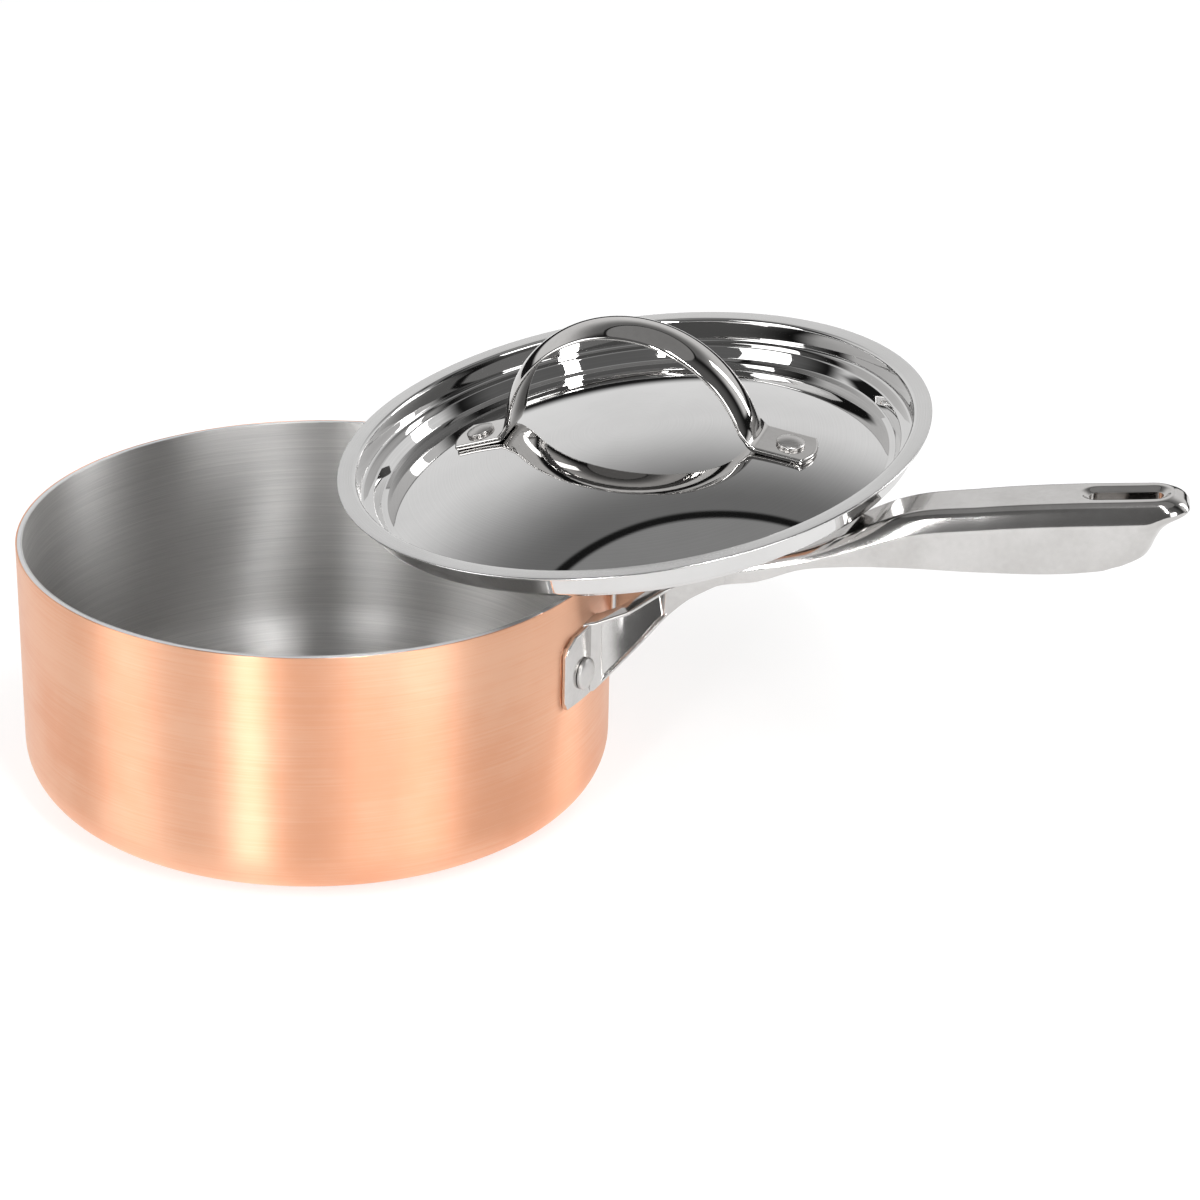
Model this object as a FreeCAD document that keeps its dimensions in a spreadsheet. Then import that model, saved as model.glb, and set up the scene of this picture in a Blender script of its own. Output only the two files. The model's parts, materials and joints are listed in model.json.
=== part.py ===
"""A 20 cm copper saucepan with its lid leaning on the rim and the long handle.

The pan is three bonded layers: copper outside, aluminium inside it, a steel liner within.
The long handle is one casting with two riveted plates.  The lid is one turned sheet with
an arched loop riveted on.

Millimetres.  The origin is the centre of the base, on the surface the pan stands on.
+Z is up and +X runs along the long handle.  The lid's pieces are drawn in the lid's own
frame, flat, with the loop along their X axis, and one placement leans them all.
"""
import FreeCAD, Part
import os
import Sketcher

V = FreeCAD.Vector

# ---------------------------------------------------------------- driving dimensions
SIZES = {
    # the pan: three bonded layers drawn to one bowl
    "pan_radius": 100.0,
    "pan_height": 88.2,
    "base_corner_radius": 17.5,
    "copper_thickness": 0.5,
    "core_thickness": 1.3,
    "liner_thickness": 0.5,
    # the bracket that hugs the wall; drops are measured down from the rim
    "plate_thickness": 2.0,
    "plate_half_angle": 25.6,
    "plate_top_drop": 13.4,
    "plate_corner_drop": 17.0,
    "plate_bottom_drop": 38.8,
    "plate_corner_cut": 2.4,
    "plate_depth": 4.0,
    "arm_end_along": 22.0,
    "arm_end_half": 14.7,
    "arm_thickness": 6.0,
    "gap_along": 14.0,
    "crotch_radius": 16.0,
    "fork_end_along": 38.0,
    "fork_end_margin": 1.2,
    "fork_bend_along": 30.0,
    "fork_belly_radius": 19.0,
    "recess_depth": 1.6,
    "rivet_half_angle": 19.2,
    "rivet_drop": 29.4,
    "rivet_shank": 6.0,
    "rivet_head": 10.8,
    "rivet_head_height": 2.3,
    "rivet_head_room": 0.6,
    "inner_head_height": 1.6,
    # the long handle
    "handle_wall": 2.8,
    "slot_along": 89.7,
    "slot_length": 24.0,
    "slot_width": 6.4,
    "lip_width": 2.6,
    "lip_depth": 1.3,
    "tip_trim": 3.2,
    "tip_edge_radius": 6.2,
    "tip_sweep_radius": 22.0,
    "tip_sweep_run": 13.4,
    "tip_sweep_drop": 21.4,
    "tip_corner_radius": 10.5,
    "tip_corner_run": 9.0,
    "tip_corner_width": 8.4,
    # the lid
    "flange_overhang": 2.8,
    "flange_bend": 1.3,
    "plug_clearance": 0.7,
    "plug_depth": 9.5,
    "ledge_width": 4.6,
    "well_depth": 12.6,
    "dome_rise": 4.0,
    "lid_sheet": 0.9,
    # how the lid leans: headings and shift are seen from above
    "lean_heading": 28.4,
    "shift_heading": 25.4,
    "lean_shift": 14.0,
    "lid_gap": 0.4,
    "rest_gap": 1.3,
    "loop_heading": -13.0,
    # the lid's loop
    "loop_half_span": 45.5,
    "loop_rise": 42.7,
    "strap_width": 17.5,
    "strap_thickness": 2.4,
    "strap_crown": 3.2,
    "strap_edge": 1.0,
    "tab_thickness": 2.0,
    "tab_lap": 1.9,
    "tab_end": 9.5,
    "tab_end_bow": 2.6,
    "tab_clearance": 0.2,
    "loop_rivet_reach": 56.5,
    "loop_rivet_shank": 5.0,
    "loop_rivet_head": 9.8,
    "loop_rivet_head_height": 2.2,
    "loop_rivet_foot_height": 1.2,
    "rivet_foot_gap": 0.06,
}

# Sections of the long handle: distance along it, lowest and highest line above the rim,
# half width, and radius of the two top edges.  The first three are placed out from the
# pan's wall, the neck halfway on to where the lid rests, and the others on from there.
STATIONS = {
    "fork": (24.0, -12.5, -3.6, 11.0, 2.0),
    "root": (36.0, -6.2, 0.2, 9.0, 2.2),
    "waist": (50.0, -3.3, 4.2, 8.8, 2.8),
    "neck": (None, 2.3, 8.6, 9.3, 3.2),
    "rest": (None, 4.7, 15.2, 10.4, 4.4),
    "shoulder": (17.7, 6.3, 23.8, 11.5, 5.5),
    "palm": (43.7, 7.1, 28.7, 12.3, 5.5),
    "grip": (71.7, 8.9, 32.3, 12.6, 5.5),
    "heel": (97.7, 13.6, 34.6, 12.4, 5.5),
    "tip": (113.7, 16.5, 35.8, 12.0, 5.5),
}
HOLLOW_STATIONS = ("neck", "rest", "shoulder", "palm", "grip", "heel")

# Corners of the fork seen from the side: distance out from the pan's wall, drop from the rim.
FORK_CORNERS = {
    "belly": (27.0, 10.2),
    "saddle": (20.0, 5.4),
    "brow": (9.0, 11.6),
}
# Corners of the recess in an arm: distance back from the arm's end, drop from the rim.
RECESS_CORNERS = {
    "recess_heel": (22.9, 24.0),
    "recess_sole": (14.0, 23.2),
    "recess_toe": (1.0, 11.5),
    "recess_nose": (0.8, 9.4),
    "recess_front": (4.5, 8.4),
    "recess_middle": (10.0, 10.6),
    "recess_crest": (17.0, 13.4),
    "recess_back": (22.9, 14.2),
}
PARTS_FOLDER = "parts"

doc = FreeCAD.newDocument("Saucepan")
sheet = doc.addObject("Spreadsheet::Sheet", "Sizes")


def fill_sheet():
    """Write every driving dimension into the sheet, one row each, under its own alias."""
    rows = dict(SIZES)
    for name, values in STATIONS.items():
        for part, value in zip(("along", "low", "high", "half", "round"), values):
            if value is not None:
                rows[f"{name}_{part}"] = value
    for name, values in {**FORK_CORNERS, **RECESS_CORNERS}.items():
        rows[f"{name}_along"], rows[f"{name}_drop"] = values
    for row, (alias, value) in enumerate(rows.items(), start=1):
        sheet.set(f"A{row}", alias)
        sheet.set(f"B{row}", str(value))
        sheet.setAlias(f"B{row}", alias)
    doc.recompute()


def size(alias):
    """The expression that reads one cell of the sheet."""
    return f"Sizes.{alias}"


# ---------------------------------------------------------------- derived expressions
RIM = size("pan_height")
WALL = "(Sizes.copper_thickness + Sizes.core_thickness + Sizes.liner_thickness)"
INNER_RADIUS = f"(Sizes.pan_radius - {WALL})"
PLATE_RADIUS = "(Sizes.pan_radius + Sizes.plate_thickness)"
PLUG_RADIUS = f"({INNER_RADIUS} - Sizes.plug_clearance)"
FLANGE_RADIUS = "(Sizes.pan_radius + Sizes.flange_overhang)"
FLANGE_INNER = f"({PLUG_RADIUS} - Sizes.lid_sheet + Sizes.flange_bend)"
LEDGE_INNER = f"({PLUG_RADIUS} - Sizes.lid_sheet - Sizes.ledge_width)"
WELL_RADIUS = f"({LEDGE_INNER} - 0.6 * (Sizes.well_depth - Sizes.plug_depth + Sizes.lid_sheet))"
CREASE_RADIUS = f"({WELL_RADIUS} - 2)"
DOME_HEIGHT = "(Sizes.well_depth + Sizes.dome_rise)"
DOME_RADIUS = f"(({CREASE_RADIUS} ^ 2 + {DOME_HEIGHT} ^ 2) / (2 * {DOME_HEIGHT}))"

# The arm leaves the plate just clear of the rivet's head, and runs straight to the fork's end.
ROOT_ANGLE = (f"(Sizes.rivet_half_angle * 1 deg - 1 rad"
              f" * (Sizes.rivet_head / 2 + Sizes.rivet_head_room) / {PLATE_RADIUS})")
ARM_RUN = f"(Sizes.pan_radius + Sizes.arm_end_along - {PLATE_RADIUS} * cos({ROOT_ANGLE}))"
ARM_DRIFT = f"({PLATE_RADIUS} * sin({ROOT_ANGLE}) - Sizes.arm_end_half)"
ARM_HEADING = f"atan({ARM_DRIFT} / {ARM_RUN})"

# The lid leans with the ring under its well on the rim at the right and on the handle.
# Seen from above the ring's centre is SHIFT from the pan's axis, MEET and REACH are the rim
# point along and across that line, CLIMB is how far up the slope the rim point is, and REST
# is where the ring crosses over the handle.
UPHILL = "(Sizes.lean_heading * 1 deg)"
ASIDE = "(Sizes.shift_heading * 1 deg)"
SHIFT = "(Sizes.pan_radius + Sizes.lean_shift)"
RING_RADIUS = f"({WELL_RADIUS} + Sizes.lid_sheet * 0.8)"
RING_DEPTH = "(Sizes.well_depth + Sizes.lid_sheet)"
MEET = f"(({INNER_RADIUS} ^ 2 - {RING_RADIUS} ^ 2 + {SHIFT} ^ 2) / (2 * {SHIFT}))"
REACH = f"sqrt({INNER_RADIUS} ^ 2 - {MEET} ^ 2)"
CLIMB = f"({MEET} * cos({UPHILL} - {ASIDE}) - {REACH} * sin({UPHILL} - {ASIDE}))"
REST = (f"({SHIFT} * cos({ASIDE}) + sqrt({RING_RADIUS} ^ 2 - ({SHIFT} * sin({ASIDE})) ^ 2))")
NECK = f"((Sizes.pan_radius + Sizes.waist_along + {REST}) / 2)"
SLOPE = (f"((Sizes.rest_high + Sizes.rest_gap - Sizes.lid_gap)"
         f" / ({REST} * cos({UPHILL}) - {CLIMB}))")
TILT = f"atan({SLOPE})"
RING_HEIGHT = (f"({RIM} + Sizes.lid_gap"
               f" + ({SHIFT} * cos({UPHILL} - {ASIDE}) - {CLIMB}) * {SLOPE})")
BACK = f"({RING_DEPTH} * sin({TILT}))"
LID_PLACEMENT = (
    f"placement(vector({SHIFT} * cos({ASIDE}) - {BACK} * cos({UPHILL});"
    f" {SHIFT} * sin({ASIDE}) - {BACK} * sin({UPHILL});"
    f" {RING_HEIGHT} + {RING_DEPTH} * cos({TILT}));"
    f" rotation(vector(-sin({UPHILL}); cos({UPHILL}); 0); -1 * {TILT}))"
    " * placement(vector(0; 0; 0); rotation(vector(0; 0; 1); Sizes.loop_heading))")


# ---------------------------------------------------------------- drawing helpers
def new_body(name):
    """A body whose label is the name of the piece."""
    body = doc.addObject("PartDesign::Body", name)
    body.Label = name
    return body


def origin_plane(body, role):
    """One of a body's own origin planes."""
    return next(item for item in body.Origin.OriginFeatures if item.Role == role)


def new_sketch(body, name, role, offset=None, turn=None):
    """A sketch on an origin plane; offset and turn are expressions for its attachment."""
    sketch = body.newObject("Sketcher::SketchObject", name)
    sketch.AttachmentSupport = [(origin_plane(body, role), "")]
    sketch.MapMode = "FlatFace"
    if turn:
        axis, angle = turn
        sketch.AttachmentOffset = FreeCAD.Placement(V(0, 0, 0), FreeCAD.Rotation(axis, 1))
        sketch.setExpression("AttachmentOffset.Rotation.Angle", angle)
    for direction, expression in (offset or {}).items():
        sketch.setExpression(f"AttachmentOffset.Base.{direction}", expression)
    return sketch


def value_of(sketch, expression):
    """The number that an expression gives now, for a sketch's starting geometry."""
    result = sketch.evalExpression(str(expression))
    return float(getattr(result, "Value", result))


def bind(sketch, constraint, expression):
    """Add a dimension and tie it to an expression."""
    index = sketch.addConstraint(constraint)
    sketch.setExpression(f"Constraints[{index}]", str(expression))


def arc_through(start, end, radius):
    """The shorter arc between two points; a positive radius bulges to the right."""
    chord = end - start
    side = V(chord.y, -chord.x, 0).normalize()
    reach = abs(radius)
    sign = 1 if radius > 0 else -1
    lift = (reach ** 2 - (chord.Length / 2) ** 2) ** 0.5
    middle = (start + end) / 2 + side * sign * (reach - lift)
    return Part.Arc(start, middle, end)


def outline(sketch, corners):
    """A closed outline.  Each corner is (across, up) or (across, up, radius expression,
    side) where the stretch that leaves it is an arc that bulges right (+1) or left (-1)."""
    points = [V(value_of(sketch, c[0]), value_of(sketch, c[1]), 0) for c in corners]
    first = sketch.GeometryCount
    for index, corner in enumerate(corners):
        start = points[index]
        end = points[(index + 1) % len(points)]
        if len(corner) == 2:
            sketch.addGeometry(Part.LineSegment(start, end))
            continue
        radius = value_of(sketch, corner[2])
        sketch.addGeometry(arc_through(start, end, radius * corner[3]))
    for index, corner in enumerate(corners):
        edge = first + index
        following = first + (index + 1) % len(corners)
        begins = start_point(sketch, edge, points[index])
        ends = 3 - begins
        next_point = points[(index + 1) % len(points)]
        sketch.addConstraint(Sketcher.Constraint(
            "Coincident", edge, ends, following, start_point(sketch, following, next_point)))
        for kind, axis, expression in (("DistanceX", -2, corner[0]), ("DistanceY", -1, corner[1])):
            if expression == "0":
                sketch.addConstraint(Sketcher.Constraint("PointOnObject", edge, begins, axis))
            else:
                now = value_of(sketch, expression)
                bind(sketch, Sketcher.Constraint(kind, edge, begins, now), expression)
        if len(corner) > 2:
            radius = value_of(sketch, corner[2])
            bind(sketch, Sketcher.Constraint("Radius", edge, radius), corner[2])


def start_point(sketch, edge, point):
    """Which end of an edge lies on a point: arcs always run anticlockwise."""
    return 1 if sketch.getPoint(edge, 1).distanceToPoint(point) < 1e-4 else 2


def circle(sketch, across, up, radius):
    """A circle whose centre and radius are expressions."""
    centre = V(value_of(sketch, across), value_of(sketch, up), 0)
    edge = sketch.addGeometry(Part.Circle(centre, V(0, 0, 1), value_of(sketch, radius)))
    for kind, axis, expression, now in (("DistanceX", -2, across, centre.x),
                                        ("DistanceY", -1, up, centre.y)):
        if expression == "0":
            sketch.addConstraint(Sketcher.Constraint("PointOnObject", edge, 3, axis))
        else:
            bind(sketch, Sketcher.Constraint(kind, edge, 3, now), expression)
    bind(sketch, Sketcher.Constraint("Radius", edge, value_of(sketch, radius)), radius)


def revolve(body, name, sketch, axis="V_Axis"):
    """Turn a sketch all the way round one of its axes."""
    feature = body.newObject("PartDesign::Revolution", name)
    feature.Profile = sketch
    feature.ReferenceAxis = (sketch, [axis])
    feature.Angle = 360.0
    return feature


def pad(body, name, sketch, length, midplane=False):
    """Extrude a sketch by an expression."""
    feature = body.newObject("PartDesign::Pad", name)
    feature.Profile = sketch
    feature.Midplane = midplane
    feature.setExpression("Length", length)
    return feature


def pocket(body, name, sketch, length=None, midplane=False, reverse=False):
    """Cut a sketch away, through everything or to a depth."""
    feature = body.newObject("PartDesign::Pocket", name)
    feature.Profile = sketch
    feature.Midplane = midplane
    feature.Reversed = reverse
    if length is None:
        feature.Type = "ThroughAll"
    else:
        feature.setExpression("Length", length)
    return feature


def mirror(body, name, originals):
    """Repeat features on the other side of the plane through the handle."""
    feature = body.newObject("PartDesign::Mirrored", name)
    feature.Originals = originals
    feature.MirrorPlane = (origin_plane(body, "XZ_Plane"), [""])
    body.Tip = feature
    return feature


# ---------------------------------------------------------------- the pan's three layers
def make_layer(name, outside, thickness):
    """One bowl of sheet: outside is how far its outer face is from the pan's outer face."""
    body = new_body(name)
    outer_radius = f"(Sizes.pan_radius - {outside})"
    inner_radius = f"({outer_radius} - {thickness})"
    outer_corner = f"(Sizes.base_corner_radius - {outside})"
    inner_corner = f"({outer_corner} - {thickness})"
    flat = "(Sizes.pan_radius - Sizes.base_corner_radius)"
    low = f"({outside})"
    floor = f"({outside} + {thickness})"
    profile = new_sketch(body, f"{name}_profile", "XZ_Plane")
    outline(profile, [
        ("0", "0" if outside == "0" else low),
        (flat, "0" if outside == "0" else low, outer_corner, 1),
        (outer_radius, size("base_corner_radius")),
        (outer_radius, RIM),
        (inner_radius, RIM),
        (inner_radius, size("base_corner_radius"), inner_corner, -1),
        (flat, floor),
        ("0", floor),
    ])
    revolve(body, f"{name}_bowl", profile)
    cut_rivet_holes(body, name)
    return body


def cut_rivet_holes(body, name):
    """Two holes through the wall for the handle's rivets."""
    hole = new_sketch(body, f"{name}_hole", "YZ_Plane",
                      turn=(V(0, 1, 0), "0 - Sizes.rivet_half_angle"))
    circle(hole, "0", f"({RIM} - Sizes.rivet_drop)", "Sizes.rivet_shank / 2")
    drilled = pocket(body, f"{name}_drilling", hole, reverse=True)
    mirror(body, f"{name}_drillings", [drilled])


# ---------------------------------------------------------------- the long handle
def make_long_handle():
    """The cast handle: two plates and arms on the wall, a fork, and a hollow grip."""
    body = new_body("long_handle")
    add_fork(body)
    add_grip(body)
    trim_tip(body)
    wall = new_sketch(body, "wall_outline", "XY_Plane")
    circle(wall, "0", "0", size("pan_radius"))
    pocket(body, "wall_seat", wall, reverse=True)
    cut_arm_recesses(body)
    cut_hanging_slot(body)
    cut_rivet_holes(body, "handle")
    return body


def on_arc(radius, angle):
    """The two coordinates of a point at an angle round the pan."""
    return f"({radius} * cos({angle} * 1 deg))", f"({radius} * sin({angle} * 1 deg))"


def face_half(along):
    """Half the fork's width, outside the arms, at a distance out from the pan's wall."""
    return (f"(Sizes.arm_end_half + (Sizes.arm_end_along - ({along}))"
            f" * tan({ARM_HEADING}))")


def inner_half(along):
    """Half the width of the gap between the arms."""
    return f"({face_half(along)} - Sizes.arm_thickness / cos({ARM_HEADING}))"


def add_fork(body):
    """The fork seen from above, cut to its outline seen from the side."""
    above = new_sketch(body, "fork_from_above", "XY_Plane")
    outline(above, fork_from_above())
    pad(body, "fork_blank", above, f"({RIM} + Sizes.neck_high)")
    side = new_sketch(body, "fork_from_the_side", "XZ_Plane")
    outline(side, fork_frame())
    outline(side, fork_from_the_side())
    pocket(body, "fork_side_cut", side, midplane=True)


def fork_from_above():
    """Both plates and arms: out along the left arm, round the neck, back along the right
    arm, and round the gap between them."""
    inside = "(Sizes.pan_radius - Sizes.plate_depth)"
    left = [
        on_arc(inside, size("plate_half_angle")),
        (*on_arc(PLATE_RADIUS, size("plate_half_angle")), PLATE_RADIUS, -1),
        (f"({PLATE_RADIUS} * cos({ROOT_ANGLE}))", f"({PLATE_RADIUS} * sin({ROOT_ANGLE}))"),
        ("(Sizes.pan_radius + Sizes.arm_end_along)", size("arm_end_half")),
        ("(Sizes.pan_radius + Sizes.fork_bend_along)",
         "(Sizes.root_half + Sizes.fork_end_margin)"),
        ("(Sizes.pan_radius + Sizes.fork_end_along)", size("root_half")),
    ]
    right = [(across, f"(0 - {up})") for across, up in (c[:2] for c in reversed(left))]
    right[-3] = (*right[-3], PLATE_RADIUS, -1)
    gap_end = "(Sizes.pan_radius + Sizes.gap_along)"
    gap = inner_half(size("gap_along"))
    crotch = [
        (inside, f"(0 - {inner_half('0 - Sizes.plate_depth')})"),
        (gap_end, f"(0 - {gap})", size("crotch_radius"), 1),
        (gap_end, gap),
        (inside, inner_half("0 - Sizes.plate_depth")),
    ]
    return left + right + crotch


def fork_frame():
    """A rectangle round the fork: what lies between it and the side outline is cut away."""
    left = "(Sizes.pan_radius / 2)"
    right = "(Sizes.pan_radius + 2 * Sizes.fork_end_along)"
    bottom = f"(0 - {RIM})"
    top = f"({RIM} * 2)"
    return [(left, bottom), (right, bottom), (right, top), (left, top)]


def fork_corner(name):
    """One named corner of the fork seen from the side."""
    return f"(Sizes.pan_radius + Sizes.{name}_along)", f"({RIM} - Sizes.{name}_drop)"


def fork_from_the_side():
    """Plate corners cut, the underside rising to the neck, the top edge back to the wall."""
    edge = f"({PLATE_RADIUS} * cos(Sizes.plate_half_angle * 1 deg))"
    inside = f"({edge} - Sizes.plate_depth * 1.5)"
    wall = "(Sizes.pan_radius - Sizes.plate_thickness / 2)"
    end = "(Sizes.pan_radius + Sizes.fork_end_along)"
    low = f"({RIM} - Sizes.plate_bottom_drop)"
    high = f"({RIM} - Sizes.plate_top_drop)"
    corner = f"({RIM} - Sizes.plate_corner_drop)"
    cut = size("plate_corner_cut")
    return [
        (inside, f"({low} + {cut})"),
        (edge, f"({low} + {cut})"),
        (f"({edge} + {cut} * 0.8)", low),
        (wall, low),
        (*fork_corner("belly"), size("fork_belly_radius"), -1),
        (end, f"({RIM} + Sizes.root_low + Sizes.fork_end_margin)"),
        (end, f"({RIM} + Sizes.root_high)"),
        fork_corner("saddle"),
        fork_corner("brow"),
        (wall, high),
        (f"({edge} + {cut} * 0.5)", f"({corner} + {cut} * 0.6)"),
        (edge, f"({corner} - {cut})"),
        (inside, f"({corner} - {cut})"),
    ]


def place_along(tag):
    """How far out from the pan's axis a section of the handle is."""
    if tag in ("fork", "root", "waist"):
        return f"(Sizes.pan_radius + Sizes.{tag}_along)"
    if tag == "neck":
        return NECK
    if tag == "rest":
        return REST
    return f"({REST} + Sizes.{tag}_along)"


def section(body, name, tag, inset):
    """One section of the grip: flat underside, upright flanks and rounded top edges.
    inset moves it inwards by the wall, and takes its underside down, to make the hollow."""
    sketch = new_sketch(body, name, "YZ_Plane", offset={"z": place_along(tag)})
    half = f"(Sizes.{tag}_half - {inset})"
    low = f"({RIM} + Sizes.{tag}_low - {inset} * 2)"
    top = f"({RIM} + Sizes.{tag}_high - {inset})"
    bend = f"(Sizes.{tag}_round - {inset} * 0.6)"
    outline(sketch, [
        (f"(0 - {half})", low),
        (half, low),
        (half, f"({top} - {bend})", bend, 1),
        (f"({half} - {bend})", top),
        (f"({bend} - {half})", top, bend, 1),
        (f"(0 - {half})", f"({top} - {bend})"),
    ])
    return sketch


def loft(body, name, kind, sketches):
    """A smooth solid through sections, added or taken away."""
    feature = body.newObject(f"PartDesign::{kind}Loft", name)
    feature.Profile = sketches[0]
    feature.Sections = sketches[1:]
    feature.Ruled = False
    return feature


def add_grip(body):
    """The neck and grip, and the hollow that opens downwards under them."""
    outer = [section(body, f"{tag}_section", tag, "0") for tag in STATIONS]
    loft(body, "grip_loft", "Additive", outer)
    wall = size("handle_wall")
    inner = [section(body, f"{tag}_inside", tag, wall) for tag in HOLLOW_STATIONS]
    loft(body, "underside_hollow", "Subtractive", inner)


def trim_tip(body):
    """The far end: rounded seen from above, and cut back below in a sweeping curve."""
    end = f"({REST} + Sizes.tip_along - Sizes.tip_trim)"
    beyond = f"({end} + Sizes.slot_length)"
    top = f"({RIM} + Sizes.tip_high)"
    above_top = f"({top} + Sizes.tip_high)"
    shoulder = f"({end} - Sizes.tip_edge_radius)"
    sweep = f"({end} - Sizes.tip_sweep_run)"
    side = new_sketch(body, "tip_from_the_side", "XZ_Plane")
    outline(side, [
        (sweep, RIM),
        (beyond, RIM),
        (beyond, above_top),
        (shoulder, above_top),
        (shoulder, f"({top} - Sizes.lip_depth * 0.6)", size("tip_edge_radius"), -1),
        (end, f"({top} - Sizes.tip_edge_radius)", size("tip_sweep_radius"), 1),
        (sweep, f"({top} - Sizes.tip_sweep_drop)"),
    ])
    pocket(body, "tip_side_cut", side, midplane=True)
    above = new_sketch(body, "tip_from_above", "XY_Plane")
    corner = f"({end} - Sizes.tip_corner_run)"
    half = size("heel_half")
    flat = "(Sizes.heel_half - Sizes.tip_corner_width)"
    wide = "(Sizes.heel_half * 2)"
    bend = size("tip_corner_radius")
    outline(above, [
        (corner, half),
        (corner, wide),
        (beyond, wide),
        (beyond, f"(0 - {wide})"),
        (corner, f"(0 - {wide})"),
        (corner, f"(0 - {half})", bend, 1),
        (end, f"(0 - {flat})"),
        (end, flat, bend, 1),
    ])
    pocket(body, "tip_plan_cut", above, reverse=True)


def cut_arm_recesses(body):
    """A shallow recess in the outer side of each arm, inside a narrow border."""
    recess = new_sketch(body, "recess_outline", "XZ_Plane",
                        offset={"x": "Sizes.pan_radius + Sizes.arm_end_along",
                                "z": size("arm_end_half")},
                        turn=(V(0, 1, 0), ARM_HEADING))
    outline(recess, [(f"(0 - Sizes.{name}_along)", f"({RIM} - Sizes.{name}_drop)")
                     for name in RECESS_CORNERS])
    cut = pocket(body, "arm_recess", recess, length=size("recess_depth"))
    mirror(body, "arm_recesses", [cut])


def slot_corners(middle, margin):
    """A slot's outline: two straights and two round ends, grown by a margin."""
    run = "((Sizes.slot_length - Sizes.slot_width) / 2)"
    half = f"(Sizes.slot_width / 2 + {margin})"
    near = f"({middle} - {run})"
    far = f"({middle} + {run})"
    end = f"({half} * 1.02)"
    return [(near, f"(0 - {half})"), (far, f"(0 - {half})", end, 1),
            (far, half), (near, half, end, 1)]


def cut_hanging_slot(body):
    """The slot near the tip, straight down through the top wall, with a dished lip."""
    middle = f"({REST} + Sizes.slot_along)"
    slot = new_sketch(body, "slot_outline", "XY_Plane")
    outline(slot, slot_corners(middle, "0"))
    pocket(body, "slot_cut", slot, reverse=True)
    rise = "((Sizes.heel_high - Sizes.grip_high) / (Sizes.heel_along - Sizes.grip_along))"
    height = f"({RIM} + Sizes.grip_high + (Sizes.slot_along - Sizes.grip_along) * {rise})"
    lip = new_sketch(body, "lip_outline", "XY_Plane", offset={"x": middle, "z": height},
                     turn=(V(0, 1, 0), f"-1 * atan({rise})"))
    outline(lip, slot_corners("0", size("lip_width")))
    dish = pocket(body, "slot_lip", lip, length=size("lip_depth"))
    dish.setExpression("TaperAngle", "-1 * atan(Sizes.lip_width / Sizes.lip_depth)")


# ---------------------------------------------------------------- the handle's rivets
def rivet_profile(body, name, half, shank, length, head_height, foot_height):
    """Half a rivet in section: a domed head above, the shank, and a low closed foot."""
    profile = new_sketch(body, f"{name}_profile", "XZ_Plane")
    shoulder = f"({head_height} * 0.55)"
    crown = f"(({half} ^ 2 + ({head_height} * 0.45) ^ 2) / ({head_height} * 0.9))"
    outline(profile, [
        ("0", f"(0 - {length} - {foot_height})"),
        (f"({half} - 0.8)", f"(0 - {length} - {foot_height})"),
        (half, f"(0 - {length} - {foot_height} + 0.6)"),
        (half, f"(0 - {length})"),
        (f"({shank} / 2)", f"(0 - {length})"),
        (f"({shank} / 2)", "0"),
        (half, "0"),
        (half, shoulder, crown, 1),
        ("0", head_height),
    ])
    revolve(body, f"{name}_turned", profile)


def make_handle_rivet(name, side):
    """A rivet along a radius of the pan; side is 1 for the left arm and -1 for the right."""
    body = new_body(name)
    half = "(Sizes.rivet_head / 2)"
    seat = f"sqrt({INNER_RADIUS} ^ 2 - {half} ^ 2)"
    rivet_profile(body, name, half, size("rivet_shank"), f"({PLATE_RADIUS} - {seat})",
                  size("rivet_head_height"), size("inner_head_height"))
    angle = f"({side} * Sizes.rivet_half_angle * 1 deg)"
    body.setExpression("Placement", (
        f"placement(vector({PLATE_RADIUS} * cos({angle}); {PLATE_RADIUS} * sin({angle});"
        f" {RIM} - Sizes.rivet_drop); rotation(vector(0; 0; 1); {angle}))"
        " * placement(vector(0; 0; 0); rotation(vector(0; 1; 0); 90))"))
    return body


# ---------------------------------------------------------------- the lid
DOME_DROP = (f"({DOME_RADIUS} - Sizes.dome_rise"
             f" - sqrt({DOME_RADIUS} ^ 2 - Sizes.loop_rivet_reach ^ 2))")
TAB_SLOPE = f"asin(Sizes.loop_rivet_reach / {DOME_RADIUS})"


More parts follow.
